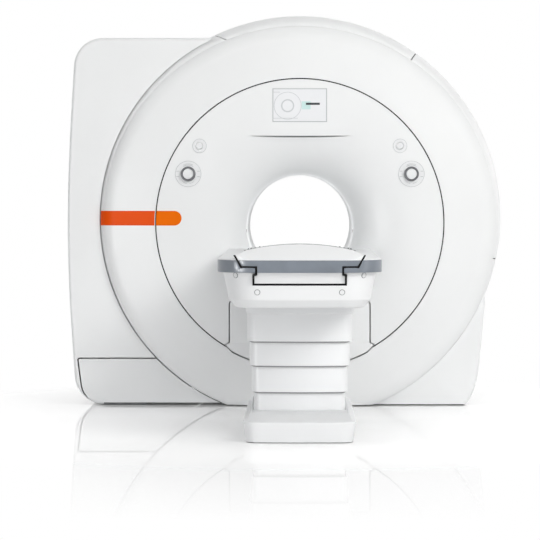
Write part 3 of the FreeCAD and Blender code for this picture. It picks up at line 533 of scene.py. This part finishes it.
def disc_gap_shade():
    """Dark lip in the seam round the disc, behind the faces of both covers: painted shade that
    darkens the gap.
    """
    inner, outer, deep = DISC_R - 0.0002, RING_INNER + 0.0002, 0.0120
    for side, name in ((-1, "front"), (1, "rear")):
        loop = [(side * (FACE - drop), radius, RING_Z)
                for drop, radius in ((0.0030, inner), (0.0022, DISC_R + 0.003), (0.0030, outer),
                                     (deep, outer), (deep, inner))]
        seal = cut_at_floor(lathe("seal", loop))
        if side < 0:
            carve(seal, dock_hole())
        detail(seal, "disc_gap_shade_" + name, "root", "control_dark", "black_seal")


def ring_surface():
    """Outer section of the sloping ring as (drop behind the face, radius)."""
    slope = CONE_DROP / (CONE_R - RING_INNER)
    section = [(0.0025, RING_INNER), (0.0008, RING_INNER + 0.0008), (0.0004, RING_INNER + 0.003)]
    section += [(slope * (r - RING_INNER), r) for r in (0.83, 0.87, 0.91, 0.95, 0.98, 1.0)]
    reach, steps, last = RING_R - 0.0015 - CONE_R, 14, math.radians(56)
    level, fall = slope * reach * 0.75, 0.081 - CONE_DROP
    for k in range(steps + 1):
        a = last * k / steps
        out, down = math.sin(a) / math.sin(last), (1 - math.cos(a)) / (1 - math.cos(last))
        section.append((CONE_DROP + level * out + (fall - level) * down, CONE_R + reach * out))
    return section + [(0.0826, RING_R - 0.0003), (0.0845, RING_R)]


def ring_loop(side):
    """The ring's whole section, with the flange that lies behind the disc's rim."""
    inside = [(RING_END, RING_R), (RING_END, RING_R - WALL), (0.078, RING_R - 0.016),
              (CONE_DROP + WALL, CONE_R - 0.004), (0.008, RING_INNER + WALL),
              (0.041, RING_INNER + WALL), (0.041, RING_INNER - 0.03),
              (0.035, RING_INNER - 0.03), (0.035, RING_INNER)]
    return [(side * (FACE - drop), radius, RING_Z) for drop, radius in ring_surface() + inside]


def accent_strip():
    """Film strip that follows the ring's slope, its rounded edge and the cover behind."""
    nodes["accent_strip_inner"].data.materials[0] = MATERIALS["accent_orange_light"]
    low, high, skin, over, rows = 1.007, 1.088, 0.0008, 0.0012, 8
    ring = [(drop, radius) for drop, radius in ring_surface() if radius > RING_INNER + 0.001]
    ring.append((RING_END, RING_R))
    behind = [(FACE - depth, body_section(round_share(depth))[1] + over)
              for depth in (0.6879, 0.6865, 0.683, 0.679, 0.674, 0.669, 0.664)]
    for name, profile in (("accent_strip_outer", ring), ("accent_strip_side", behind)):
        points = []
        for k in range(rows + 1):
            z = low + (high - low) * k / rows
            for drop, radius in profile:
                reach = radius + skin * 0.7
                points.append((-math.sqrt(reach ** 2 - (z - RING_Z) ** 2), -FACE + drop - skin, z))
        item = build(name, points, grid(rows + 1, len(profile)))
        if name in nodes:
            stands_for(item, name)
        else:
            detail(item, name, "root", "accent_orange")


# -------- side covers

def body_rows():
    """Depths of the side covers' sections with the share of the full round there."""
    front = [(-BODY_FRONT + BODY_ROUND * (1 - math.cos(a)), math.sin(a)) for a in quarter(12)]
    rows = front + [(y, 1.0) for y in (-0.40, -0.20, 0.0, 0.20, 0.40)]
    return rows + [(-y, share) for y, share in reversed(front)]


def round_share(depth):
    """Share of the full round at a depth."""
    inward = max(0.0, min(1.0, (BODY_FRONT - abs(depth)) / BODY_ROUND))
    return math.sqrt(max(0.0, 1 - (1 - inward) ** 2))


def body_section(share):
    """Centre height and radius of the side covers at a share of the full round."""
    return RING_Z + (BODY_Z - RING_Z) * share, BODY_START_R + (BODY_R - BODY_START_R) * share


SKIRT_FRONT, SKIRT_EDGE = 0.662, 0.018
# the skirt's outline from the floor up, seen from the front
SKIRT = ((0.929, 0.0), (0.970, 0.07), (0.997, 0.16), (1.040, 0.60), (0.840, 0.90))


def skirt_reach(angle):
    """How far the right skirt reaches from the covers' centre in a direction."""
    dx, dz = math.cos(angle), math.sin(angle)
    reach = math.inf
    for (x1, z1), (x2, z2) in zip(SKIRT, SKIRT[1:]):
        nx, nz = z2 - z1, -(x2 - x1)
        facing = dx * nx + dz * nz
        if facing > 1e-6:
            reach = min(reach, (x1 * nx + (z1 - BODY_Z) * nz) / facing)
    return reach


# angle of each seam between the side covers, and how far it slants over the rounded front;
# these and the gap, on either side of the seam, are in degrees
SEAMS = {"top_left": (112.4, 2.9), "top_right": (54.7, 0.0), "right": (-12.0, 0.0),
         "floor": (-89.9, 0.0), "floor_left": (269.9, 0.0)}
SEAM_GAP = 0.13


def seam_angle(seam, share, aside=0.0):
    angle, slant = SEAMS[seam]
    return math.radians(angle + slant * share + aside)


def body_sector(node, first, last, skirt=False):
    """A side cover from one seam to the next, with the skirt where it has one."""
    rows = body_rows()
    if skirt:
        edge = [SKIRT_FRONT - SKIRT_EDGE * (1 - math.cos(a)) for a in quarter(8)]
        edge.append(SKIRT_FRONT + 1e-4)
        rows = sorted(rows + [(y, round_share(y)) for depth in edge for y in (-depth, depth)])
    degrees_a_step = 1.2
    steps = int(abs(SEAMS[last][0] - SEAMS[first][0]) / degrees_a_step)
    points = []
    for depth, share in rows:
        near, far = seam_angle(first, share, SEAM_GAP), seam_angle(last, share, -SEAM_GAP)
        centre, radius = body_section(share)
        lift = centre - BODY_Z
        for k in range(steps + 1):
            angle = near + (far - near) * k / steps
            reach = lift * math.sin(angle) + math.sqrt(
                max(0.0, radius ** 2 - (lift * math.cos(angle)) ** 2))
            if skirt and abs(depth) <= SKIRT_FRONT:
                near_edge = max(0.0, abs(depth) - (SKIRT_FRONT - SKIRT_EDGE)) / SKIRT_EDGE
                inset = SKIRT_EDGE * (1 - math.sqrt(max(0.0, 1 - near_edge ** 2)))
                reach = max(reach, skirt_reach(angle) - inset)
            points.append((reach * math.cos(angle), depth, BODY_Z + reach * math.sin(angle)))
    cover = build(node + "_skin", points, grid(len(rows), steps + 1))
    cut_at_floor(cover, fill=False)
    middle = (seam_angle(first, 1) + seam_angle(last, 1)) / 2
    outward = Vector((math.cos(middle), 0, math.sin(middle)))
    if sum(p.normal.dot(outward) * p.area for p in cover.data.polygons) < 0:
        cover.data.flip_normals()
    shell = cover.modifiers.new("wall", "SOLIDIFY")
    shell.thickness = 0.007
    shell.offset = -1
    flatten(cover)
    bevel(cover, COVER_EDGE, 2, 50)
    stands_for(cover, node, 40)


def side_covers():
    body_sector("top_cover", "top_right", "top_left")
    body_sector("right_cover_upper", "right", "top_right")
    body_sector("right_cover_lower", "floor", "right", skirt=True)
    body_sector("left_cover", "top_left", "floor_left")
    half_turn, thick, behind = 0.3, 0.003, 0.0035
    corners = ((-half_turn, 0), (half_turn, 0), (half_turn, thick), (-half_turn, thick))
    # black strips behind the seams between the covers, as painted shade in the gaps
    for k, seam in enumerate(("top_right", "top_left", "right")):
        loops = []
        for depth, share in body_rows():
            centre, radius = body_section(share)
            loop = []
            for turn, deep in corners:
                reach, angle = radius - behind - deep, seam_angle(seam, share, turn)
                loop.append((reach * math.cos(angle), depth, centre + reach * math.sin(angle)))
            loops.append(loop)
        detail(rings("seal", loops), "cover_gap_shade_%d" % (k + 1), "root", "control_dark",
               "black_seal")


# -------- side cabinet

CABINET_FRONT, CABINET_REAR = -0.660, 0.600
CABINET_EDGE, CABINET_WALL = 0.020, 0.008


def cabinet_outline(inset, low=FLOOR_GAP):
    """Half outline from the top inner end round the outer side to the bottom inner end."""
    top, side, waist = 2.053 - inset, 1.262 - inset, 1.299 - inset
    inner, radius = -0.300, 0.162 - inset
    shares = (0.15, 0.3, 0.45, 0.6, 0.75, 0.9, 1.0)
    points = [(inner, top)]
    points += arc((-side + radius, top - radius), radius, 90, 178, 14)
    for end, steps in ((top - radius, shares), (low + radius, shares[-2::-1])):
        points += [(-side - (waist - side) * math.sin(math.pi / 2 * t), end + (BORE_Z - end) * t)
                   for t in steps]
    points += arc((-side + radius, low + radius), radius, 182, 270, 14)
    return points + [(inner, low)]


def body_core():
    """The round side covers' outside and the gap round it as one solid, for cutting with."""
    gap, loops = 0.005, []
    for y, share in [(AHEAD, 0.0)] + body_rows() + [(-AHEAD, 0.0)]:
        centre, radius = body_section(share)
        loops.append([(x, y, z) for x, z in circle((0, centre), radius + gap)])
    return rings("core", loops)


def kick_outline():
    """The kick panel seen from the front."""
    inner, side, top, corner = -0.36, -1.239, 0.259, 0.006
    points = [(inner, top), (side + corner, top), (side, top - corner)]
    points += arc((side + 0.131, 0.126), 0.1135, 188, 262, 10)
    return points + [(inner, points[-1][1])]


def cabinet():
    edge = [(CABINET_EDGE * (1 - math.cos(a)), CABINET_EDGE * (1 - math.sin(a)))
            for a in quarter(6)]
    rows = [(CABINET_FRONT + back, inset) for back, inset in edge] + [(-0.2, 0.0), (0.2, 0.0)]
    rows += [(CABINET_REAR - back, inset) for back, inset in reversed(edge)]
    outer = rings("cabinet", [[(x, y, z) for x, z in cabinet_outline(inset)]
                              for y, inset in rows])
    near, far = CABINET_FRONT + CABINET_WALL, CABINET_REAR - CABINET_WALL
    low = FLOOR_GAP + CABINET_WALL
    carve(outer, plate("room", cabinet_outline(CABINET_WALL, low), near, far))
    carve(outer, slab("open_bottom", (-1.100, near, -0.1), (-0.2, far, low + 0.001)))
    carve(outer, body_core())
    carve(outer, plate("kick", grown(kick_outline(), PANEL_GAP), CABINET_FRONT - 0.02,
                       near + 0.004))
    stands_for(outer, "cabinet_cover", 35)
    panel = plate("kick", kick_outline(), CABINET_FRONT, near)
    carve(panel, body_core())
    bevel(panel, COVER_EDGE, 2, 40)
    stands_for(panel, "kick_panel")


# -------- table

TABLE_HALF, TABLE_FRONT, TABLE_REAR, TABLE_CORNER = 0.388, -3.050, -0.800, 0.200
BAND_LOW, BAND_TOP, BAND_DEPTH, RIM_TOP = 0.816, 0.874, 0.018, 0.880
CAP_GAP, CAP_FRONT, CAP_REAR = 0.008, -3.0499, -2.929
# heights of the housing's tapered underside, with how far it lies inside its rim there
HULL = ((0.816, 0.026), (0.6875, 0.0535), (0.6855, 0.0543), (0.6835, 0.0560), (0.681, 0.0585),
        (0.658, 0.0765), (0.6545, 0.0800), (0.6515, 0.0845), (0.6495, 0.0895), (0.648, 0.0960))


def hull_inset(z):
    """How far the housing's tapered underside lies inside its rim at a height."""
    for (high, first), (low, second) in zip(HULL, HULL[1:]):
        if z >= low:
            return first + (second - first) * (high - z) / (high - low)
    return HULL[-1][1]


def table_plan(inset, z):
    """The housing's outline seen from above, with its two large front corners."""
    corner = (TABLE_HALF - TABLE_CORNER, TABLE_FRONT + TABLE_CORNER)
    right = [(TABLE_HALF - inset, y) for y in (TABLE_REAR, -1.2, -1.8, -2.4)]
    right += arc(corner, TABLE_CORNER - inset, 0, -90, 14)
    return [(x, y, z) for x, y in mirrored(right)]


def front_depth(x, inset):
    """Depth of the housing's front at a place across it."""
    radius = TABLE_CORNER - inset
    beyond = max(0.0, abs(x) - (TABLE_HALF - TABLE_CORNER))
    return TABLE_FRONT + TABLE_CORNER - math.sqrt(max(0.0, radius ** 2 - beyond ** 2))


def cap_seam(gap):
    """Half outline of the seam round the end cap, from the floor of the channel up."""
    floor, ledge, notch = 0.765 - gap, 0.847 - gap, 0.799 + gap
    return [(0.211 + gap, floor), (0.211 + gap, notch), (0.198 + gap, notch + 0.004),
            (0.198 + gap, ledge), (0.270 + gap * 0.7, ledge), (0.300 + gap, 0.897)]


def housing():
    """The table's tapered shell with the channel that the tabletop runs in."""
    levels = [(RIM_TOP, 0.004), (RIM_TOP - 0.0015, 0.001), (RIM_TOP - 0.004, 0.0),
              (BAND_TOP, 0.0), (BAND_TOP, BAND_DEPTH), (BAND_LOW, BAND_DEPTH), (BAND_LOW, 0.022),
              (BAND_LOW - 0.0015, 0.0245)]
    levels += [(z, hull_inset(z)) for z in (0.812, 0.79, 0.75, 0.71, 0.6905)]
    levels += [(z, inset) for z, inset in HULL[1:]]
    shell = rings("housing", [table_plan(inset, z) for z, inset in levels])
    seam = mirrored(cap_seam(CAP_GAP) + [(0.31, 0.95)])
    carve(shell, plate("way", seam, TABLE_FRONT - 0.01, TABLE_REAR + 0.01))
    bevel(shell, 0.0016, 2, 50)
    stands_for(shell, "table_housing", 35)


def cap_gap_shade():
    """Black lip of the housing in the seam round the end cap: painted shade that darkens the seam.
    """
    deep, proud = 0.055, 0.001
    inner, outer = (mirrored([(TABLE_HALF - TABLE_CORNER, line[0][1])] + line)
                    for line in (cap_seam(0.0004), cap_seam(CAP_GAP + 0.0015)))
    loops = []
    for pair in zip(inner, outer):
        near = [(x, max(CAP_FRONT, front_depth(
            x, 0.0 if z > BAND_LOW - 0.012 else hull_inset(z)) - proud), z) for x, z in pair]
        loops.append(near + [(x, y + deep, z) for x, y, z in reversed(near)])
    half = len(loops) // 2
    lip = rings("lip", loops[half:] + loops[:half], "open")
    detail(lip, "cap_gap_shade", "table", "control_dark", "black_seal")


def screw_rings():
    """Dark sealing ring round each screw cap on the housing's tapered front."""
    radius, tube, steps, tube_steps = 0.0125, 0.0017, 32, 8
    (high, top_inset), (low, low_inset) = HULL[:2]
    taper = math.atan2(low_inset - top_inset, high - low)
    caps = ((-0.300, 0.803), (0.300, 0.803), (-0.198, 0.724), (0.198, 0.724))
    for number, (x, z) in enumerate(caps, 1):
        inset = hull_inset(z)
        turn = math.asin(max(0.0, abs(x) - (TABLE_HALF - TABLE_CORNER)) / (TABLE_CORNER - inset))
        outward = Vector((math.copysign(math.sin(turn), x) * math.cos(taper),
                          -math.cos(turn) * math.cos(taper), -math.sin(taper)))
        base = Vector((x, front_depth(x, inset), z)) + outward * 0.0002
        across = outward.cross(Vector((0, 0, 1))).normalized()
        up = across.cross(outward)
        loops = []
        for k in range(steps):
            a = 2 * math.pi * k / steps
            way = across * math.cos(a) + up * math.sin(a)
            loops.append([tuple(base + way * (radius + tube * math.cos(b))
                                + outward * (tube * math.sin(b)))
                          for b in (2 * math.pi * j / tube_steps for j in range(tube_steps))])
        detail(rings("ring", loops, "joined"), "screw_ring_%d" % number, "table",
               "control_dark", "ring_grey", 80)


def cap_edge_strip():
    """Grey strip behind the end cap, bowed as the tabletop is."""
    half, height, bow, thick, steps = 0.262, 0.9500, 2.214, 0.0070, 40
    near, far = CAP_REAR, CAP_REAR + thick
    loops = []
    for k in range(steps + 1):
        x = -half + 2 * half * k / steps
        top = height - x * x / bow
        loops.append([(x, near, top - thick), (x, near, top), (x, far, top),
                      (x, far, top - thick)])
    detail(rings("cap_edge_strip", loops), "cap_edge_strip", "tabletop", "control_dark", "ring_grey")


def coil_sockets():
    """Two sockets behind the end cap, each with a row of leaning tabs before it."""
    half_tab, low, near, far = 0.0035, 0.900, CAP_REAR + 0.006, CAP_REAR + 0.012
    upright, lean = 0.918, 0.45
    tabs = ((0.244, 0.928), (0.233, 0.931), (0.214, 0.932), (0.196, 0.937), (0.178, 0.9375))
    for side, name in ((-1, "left"), (1, "right")):
        for number, (x, top) in enumerate(tabs, 1):
            tab = slab("tab", (x * side - half_tab, near, low), (x * side + half_tab, far, top))
            for vert in tab.data.vertices:
                vert.co.x += side * (upright - vert.co.z) * lean
            detail(tab, "socket_tab_%s_%d" % (name, number), "tabletop", "control_dark")
        block = slab("socket", (side * 0.21 - 0.042, far, 0.884),
                     (side * 0.21 + 0.042, CAP_REAR + 0.09, 0.922))
        bevel(block, 0.006, 3)
        detail(block, "coil_socket_" + name, "tabletop", "tabletop")


def table():
    housing()
    cap_gap_shade()
    screw_rings()
    for node, width in (("end_cap", 0.0025), ("tabletop", 0.004), ("table_bumper_left", 0.002),
                        ("table_bumper_right", 0.002), ("end_cap_bumper", 0.002)):
        soften(node, width)
    cap_edge_strip()
    coil_sockets()


def rounded_plan(half, front, rear, radius, z, bulge):
    """A rounded rectangle seen from above whose front bulges towards the viewer."""
    flat, flat_steps = half - radius, 12
    loop = []
    for x, y, first in ((flat, rear - radius, 0), (-flat, rear - radius, 90),
                        (-flat, front + radius, 180), (flat, front + radius, 270)):
        loop += arc((x, y), radius, first, first + 90, 8)
        if first == 180:
            loop += [(-flat + 2 * flat * k / flat_steps, front) for k in range(1, flat_steps)]
    middle = (front + rear) / 2
    return [(x, y + (bulge * (x / half) ** 2 if y < middle else 0), z) for x, y in loop]


COLUMN_HALF, COLUMN_FRONT, COLUMN_REAR, COLUMN_CORNER = 0.2575, -2.433, -1.667, 0.044
COLUMN_BULGE, COLUMN_STEP = 0.026, 0.0108


def section_size(inset):
    """Half width, front, rear and corner radius of a column section."""
    return (COLUMN_HALF - inset, COLUMN_FRONT + inset, COLUMN_REAR - inset,
            COLUMN_CORNER - inset * 0.3)


def sleeve(node, inset, levels):
    """A column section: levels are (height, growth) of the outside from the top down."""
    half, front, rear, radius = section_size(inset)
    loops = [rounded_plan(half + grow, front - grow, rear + grow, radius + grow, z, COLUMN_BULGE)
             for z, grow in levels + [(levels[-1][0], -WALL), (levels[0][0], -WALL)]]
    stands_for(rings(node, loops, "joined"), node, 40)


def wiper(name, body, inset, z):
    """Dark strip under the lower edge of a column section, across its front and rear: a wiper that
    stands as painted shade under the edge, fading out near the corners.
    """
    tall, deep, over, inward, fade_width, steps = 0.0055, 0.004, 0.002, 0.0015, 0.014, 48
    half, front, rear, radius = section_size(inset)
    reach = half - radius * 0.22
    strips = []
    for end, side, bulge in ((front, 1, COLUMN_BULGE), (rear, -1, 0)):
        loops = []
        for k in range(steps + 1):
            x = -reach + 2 * reach * k / steps
            beyond = max(0.0, abs(x) - (half - radius))
            turn = radius - math.sqrt(radius ** 2 - beyond ** 2)
            near = end + bulge * (x / half) ** 2 + side * (turn + inward)
            far = near + side * deep
            low = z - tall * min(1.0, (reach - abs(x)) / fade_width)
            loops.append([(x, near, low), (x, near, z + over), (x, far, z + over), (x, far, low)])
        strips.append(rings("strip", loops, "open"))
    detail(joined(name, strips), name, body, "control_dark", "wiper")


def column():
    lip, upper_low = 0.002, 0.459
    sleeve("skirt_upper", 0.0, [(0.648, 0.0085), (0.6045, 0.0080), (0.6005, 0.0070),
                                (0.5960, 0.0045), (0.5925, 0.0010), (0.5900, 0.0),
                                (upper_low + lip, 0.0), (upper_low, -lip)])
    # the other sections with their lower and upper edges
    lower = (("third", 0.339, 0.494), ("second", 0.209, 0.369), ("lower", 0.025, 0.240))
    for k, (name, low) in enumerate((("upper", upper_low), lower[0][:2], lower[1][:2])):
        wiper("wiper_" + name, body_of_node["skirt_" + name], COLUMN_STEP * k, low)
    for k, (name, low, high) in enumerate(lower, 1):
        sleeve("skirt_" + name, COLUMN_STEP * k, [(high, 0.0), (low + lip, 0.0), (low, -lip)])


def foot():
    # half width, front, rear, corner radius, height and bulge of the front, from the floor up
    levels = [(0.2535, -2.8290, -1.490, 0.048, 0.0030, 0.010),
              (0.2545, -2.8300, -1.489, 0.049, 0.0045, 0.010),
              (0.2665, -2.8370, -1.481, 0.062, 0.0850, 0.020),
              (0.2685, -2.8390, -1.480, 0.065, 0.0925, 0.020),
              (0.2690, -2.8395, -1.480, 0.065, 0.0950, 0.020),
              (0.2680, -2.8380, -1.481, 0.065, 0.0980, 0.020),
              (0.2640, -2.8320, -1.484, 0.063, 0.1005, 0.020),
              (0.2480, -2.8100, -1.500, 0.058, 0.1060, 0.020),
              (0.2455, -2.6400, -1.505, 0.050, 0.1185, 0.020),
              (0.2415, -2.6050, -1.512, 0.048, 0.1205, 0.020),
              (0.2375, -2.5900, -1.520, 0.047, 0.1195, 0.020),
              (0.2345, -2.5700, -1.540, 0.045, 0.1140, 0.022),
              (0.2300, -2.4120, -1.688, 0.038, 0.1195, 0.026),
              (0.2285, -2.4075, -1.692, 0.036, 0.1180, 0.026),
              (0.2285, -2.4075, -1.692, 0.036, 0.1000, 0.026)]
    stands_for(rings("foot", [rounded_plan(*level) for level in levels], "open"), "foot_cover",
               50)


# -------- controls

PRINT = 0.0003  # how far one layer of print stands before what it is printed on


def flat_ring(centre, inner, outer, first, last, steps):
    """A thin flat arc of a ring that faces the viewer, round an (x, y, z)."""
    x, y, z = centre
    points = [(px, y, pz) for radius in (inner, outer)
              for px, pz in arc((x, z), radius, first, last, steps)]
    return build("mark", points, grid(2, steps + 1))


def joined(name, parts):
    """Makes one object of several."""
    work = bmesh.new()
    for part in parts:
        work.from_mesh(part.data)
        bpy.data.objects.remove(part)
    mesh = bpy.data.meshes.new(name)
    work.to_mesh(mesh)
    work.free()
    return make_object(name, mesh)


def tile(x0, x1, z0, z1, depth):
    return build("tile", [(x0, depth, z0), (x1, depth, z0), (x1, depth, z1), (x0, depth, z1)],
                 [(0, 1, 2, 3)])


def face_of(node):
    """Middle of a node's front, with the depth of a print on it."""
    low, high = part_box(node)
    return (low.x + high.x) / 2, low.y - PRINT, (low.z + high.z) / 2


def dial(side):
    """A dial's turning ring, its centre button and the grey marks round them: a scale of arcs and
    dashes, and a ring along the bezel's edge that is painted shade.
    """
    x, face, z = centre = face_of("dial_bezel_" + side)
    low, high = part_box("dial_knob_" + side)
    tall, middle, half, steps = min(high.y - low.y, 0.006), 0.0350, 0.0055, 12
    loop = [(high.y, 0.0295, z), (high.y, 0.0420, z)]
    for k in range(steps + 1):
        a = math.radians(180 * k / steps)
        loop.append((low.y + tall * (1 - math.sin(a)) * 0.8, middle + half * math.cos(a), z))
    stands_for(lathe("knob", loop, 96, x), "dial_knob_" + side, 50)

    low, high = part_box("dial_button_" + side)
    edge, pole = 0.0286, 0.0004
    loop = [(high.y, pole, z), (high.y, edge, z)]
    loop += [(low.y + drop, radius, z) for drop, radius in (
        (0.0022, edge), (0.0009, 0.0279), (0.0003, 0.0262), (0.0, 0.0235), (0.0004, 0.0180),
        (0.0007, 0.0090), (0.0008, pole))]
    stands_for(lathe("button", loop, 96, x), "dial_button_" + side, 50)

    # inner and outer radius, first and last angle, steps
    marks = [flat_ring(centre, *mark) for mark in (
        (0.0480, 0.0510, 56, 124, 20), (0.0550, 0.0570, 62, 118, 20),
        (0.0520, 0.0540, 232, 262, 12), (0.0520, 0.0540, 278, 308, 12),
        # the last, a whole ring along the bezel's edge, is painted shade
        (0.0702, 0.0722, 0, 360, 96))]
    half, tall = 0.0075, 0.0014
    marks += [tile(x + dx - half, x + dx + half, z + dz - tall, z + dz + tall, face)
              for dx in (-0.0575, 0.0575) for dz in (-0.015, 0.015)]
    detail(joined("dial_scale_and_shade", marks), "dial_scale_and_shade_" + side, "root", "control_white",
           "print_grey")


def controls():
    for side in ("left", "right"):
        for node, width in (("dial_bezel_", 0.002), ("button_rim_", 0.0015),
                            ("push_button_", 0.006)):
            soften(node + side, width, 4)
        dial(side)
        centre = face_of("button_rim_" + side)
        # a grey ring along the rim's edge and a grey crescent at the button's lower left, both
        # painted shade
        marks = [flat_ring(centre, 0.0370, 0.0388, 0, 360, 64),
                 flat_ring(centre, 0.0225, 0.0245, 170, 265, 24)]
        detail(joined("button_painted_shade", marks), "button_painted_shade_" + side, "root", "control_white",
               "print_grey")


def display():
    """Plain pictogram, bar and lines on the display's glass."""
    nodes["display_frame"].data.materials[0] = MATERIALS["print_grey"]
    low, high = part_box("display_glass")
    ground, mark, top = (low.y - PRINT * k for k in (1, 2, 3))
    centre = (-0.067, mark, 1.670)
    layers = (
        ("screen_ground", "screen_ground", [tile(low.x, high.x, low.z, high.z, ground)]),
        ("screen_ring", "screen_grey", [flat_ring(centre, 0.0735, 0.0765, 0, 360, 64),
                                        flat_ring(centre, 0.0290, 0.0365, 0, 360, 64),
                                        tile(-0.145, -0.109, 1.7435, 1.7465, mark),
                                        tile(-0.145, -0.010, 1.5995, 1.6025, mark)]),
        ("screen_tint", "screen_teal", [tile(0.0105, 0.060, 1.650, 1.694, mark)]),
        ("screen_bar", "print_dark", [tile(0.034, 0.111, 1.6745, 1.6865, top)]),
    )
    for name, material, parts in layers:
        detail(joined(name, parts), name, "root", "display_glass", material)


# -------- stage, light, camera

ROOM_STRENGTH = 0.02
FLOOR_GLOW, GLOW_SHADE = 0.50, 0.8
LIT_CENTRE, LIT_SHAPE = (0.0, -1.4, 0.0), (1 / 1.5, 1 / 1.6, 1.0)
LIT_NEAR, LIT_FAR = 1.0, 1.7
MIRROR_CENTRE, MIRROR_ROUGH = (0.0, -0.8, 0.0), 0.02
MIRROR_SHARE, MIRROR_NEAR, MIRROR_FAR = 0.56, 1.0, 4.9


def emission_world():
    """Even soft light; white where the camera or a reflection sees it."""
    world = bpy.data.worlds.new("studio")
    bpy.context.scene.world = world
    world.use_nodes = True
    tree = world.node_tree
    tree.nodes.clear()
    rays = add_node(tree, "ShaderNodeLightPath").outputs
    seen = add_node(tree, "ShaderNodeMath", {0: rays["Is Camera Ray"], 1: rays["Is Glossy Ray"]},
                    operation="MAXIMUM")
    room, white = (add_node(tree, "ShaderNodeBackground", {"Color": color, "Strength": strength})
                   for color, strength in (((0.96, 0.98, 1.0, 1), ROOM_STRENGTH),
                                           ((1, 1, 1, 1), 1.0)))
    blend = add_node(tree, "ShaderNodeMixShader", {"Fac": seen.outputs[0], 1: room.outputs[0],
                                                   2: white.outputs[0]})
    add_node(tree, "ShaderNodeOutputWorld", {"Surface": blend.outputs[0]})


def floor():
    """White floor that keeps the object's shadow and, near it, its mirror image."""
    item = build("studio_floor", [(-60, -40, 0), (60, -40, 0), (60, 120, 0), (-60, 120, 0)],
                 [(0, 1, 2, 3)])
    shader = Shader("studio_floor", (0.86, 0.86, 0.86), 0.5, specular=0.0)
    item.data.materials.append(shader.material)
    rays = shader.add("ShaderNodeLightPath").outputs
    seen = shader.math("MAXIMUM", rays["Is Camera Ray"], rays["Is Glossy Ray"])

    # it glows a little where it is seen, and less so close to the object, where ambient occlusion
    # dims the glow as painted shade
    shade = shader.add("ShaderNodeAmbientOcclusion", {"Distance": GLOW_SHADE})
    glow = shader.emission(shader.math("MULTIPLY", shade.outputs["AO"], FLOOR_GLOW))
    glow = shader.blend(seen, shader.emission(0.0), glow)
    lit = shader.add("ShaderNodeAddShader", {0: shader.base.outputs[0], 1: glow.outputs[0]})

    # away from the object it is plain white
    offset = shader.vector("SUBTRACT", shader.place, LIT_CENTRE)
    reach = shader.vector("LENGTH", shader.vector("MULTIPLY", offset, LIT_SHAPE))
    away = shader.math("MULTIPLY", seen, shader.between(reach, 0.0, 1.0, LIT_NEAR, LIT_FAR))
    ground = shader.blend(away, lit, shader.emission(1.0))

    mirror = shader.add("ShaderNodeBsdfGlossy", {"Color": (1, 1, 1, 1),
                                                 "Roughness": MIRROR_ROUGH})
    distance = shader.vector("DISTANCE", shader.place, MIRROR_CENTRE)
    share = shader.between(distance, MIRROR_SHARE, 0.0, MIRROR_NEAR, MIRROR_FAR)
    total = shader.blend(share, ground, mirror)
    surface = shader.tree.nodes["Material Output"].inputs["Surface"]
    shader.tree.links.new(total.outputs[0], surface)


# name, place, aim, size, watts and colour where it isn't white
LAMPS = (
    ("key", (4.5, -7.5, 4.6), (0, -0.8, 1.0), (4.0, 3.0), 334, (1.0, 0.99, 0.97)),
    ("overhead", (0.0, -2.0, 6.5), (0, -1.2, 0.0), (6.0, 6.0), 78),
    ("front", (0.0, -20.0, 4.6), (0, 0, 1.0), (12.0, 7.0), 920),
    ("left", (-6.5, -5.0, 3.2), (0, 0, 1.0), (3.0, 3.0), 56),
    ("low", (0.0, -9.0, 0.35), (0, 0, 1.2), (6.0, 0.5), 22),
    ("bore", (0.0, -0.15, 1.02), (0, -1.0, 1.02), (0.34, 0.34), 1.2),
    ("high", (1.5, -6.5, 6.5), (0, -1.0, 1.0), (5.0, 3.0), 26),
    ("rear_top", (0.0, 3.5, 6.0), (0, 0, 2.0), (6.0, 3.0), 105),
    ("rear_right", (6.0, 3.0, 2.5), (0, 0, 1.2), (3.0, 3.0), 185),
    ("rear_left", (-6.0, 3.0, 2.5), (0, 0, 1.2), (3.0, 3.0), 125),
)
# tall soft boxes that only gloss shows
STRIP_AIM = (0, -3.0, 0.85)
STRIPS = (("strip_left", (-5.0, -6.6, 1.0), STRIP_AIM, (0.9, 1.8), 170),
          ("strip_right", (5.2, -4.2, 1.0), STRIP_AIM, (0.8, 1.8), 20))


def lamp(name, place, aim, size, watts, color=(1, 1, 1)):
    data = bpy.data.lights.new(name, "AREA")
    data.shape = "RECTANGLE"
    data.size, data.size_y = size
    data.energy = watts
    data.color = color
    item = make_object(name, data)
    item.location = place
    item.rotation_euler = (Vector(aim) - Vector(place)).to_track_quat("-Z", "Y").to_euler()
    return item


def lights():
    for look in LAMPS:
        lamp(*look).visible_glossy = False
    for look in STRIPS:
        lamp(*look).visible_diffuse = False


CAMERA_PLACE = (0.0, -14.88, 1.19)
FOCAL_PIXELS, IMAGE_PIXELS = 2544.6, 540
VANISHING = (299.7, 192.5)


def camera():
    data = bpy.data.cameras.new("camera")
    data.sensor_width = 36.0
    data.lens = FOCAL_PIXELS / IMAGE_PIXELS * data.sensor_width
    data.clip_end = 300
    item = make_object("camera", data)
    item.location = CAMERA_PLACE
    half = IMAGE_PIXELS / 2
    aside, up = (half - VANISHING[0]) / FOCAL_PIXELS, (VANISHING[1] - half) / FOCAL_PIXELS
    item.rotation_euler = Vector((aside, 1.0, up)).to_track_quat("-Z", "Y").to_euler()
    bpy.context.scene.camera = item


bpy.context.scene.view_settings.view_transform = "Standard"
camera()
emission_world()
floor()
lights()
round_covers()
accent_strip()
side_covers()
cabinet()
table()
column()
foot()
controls()
display()
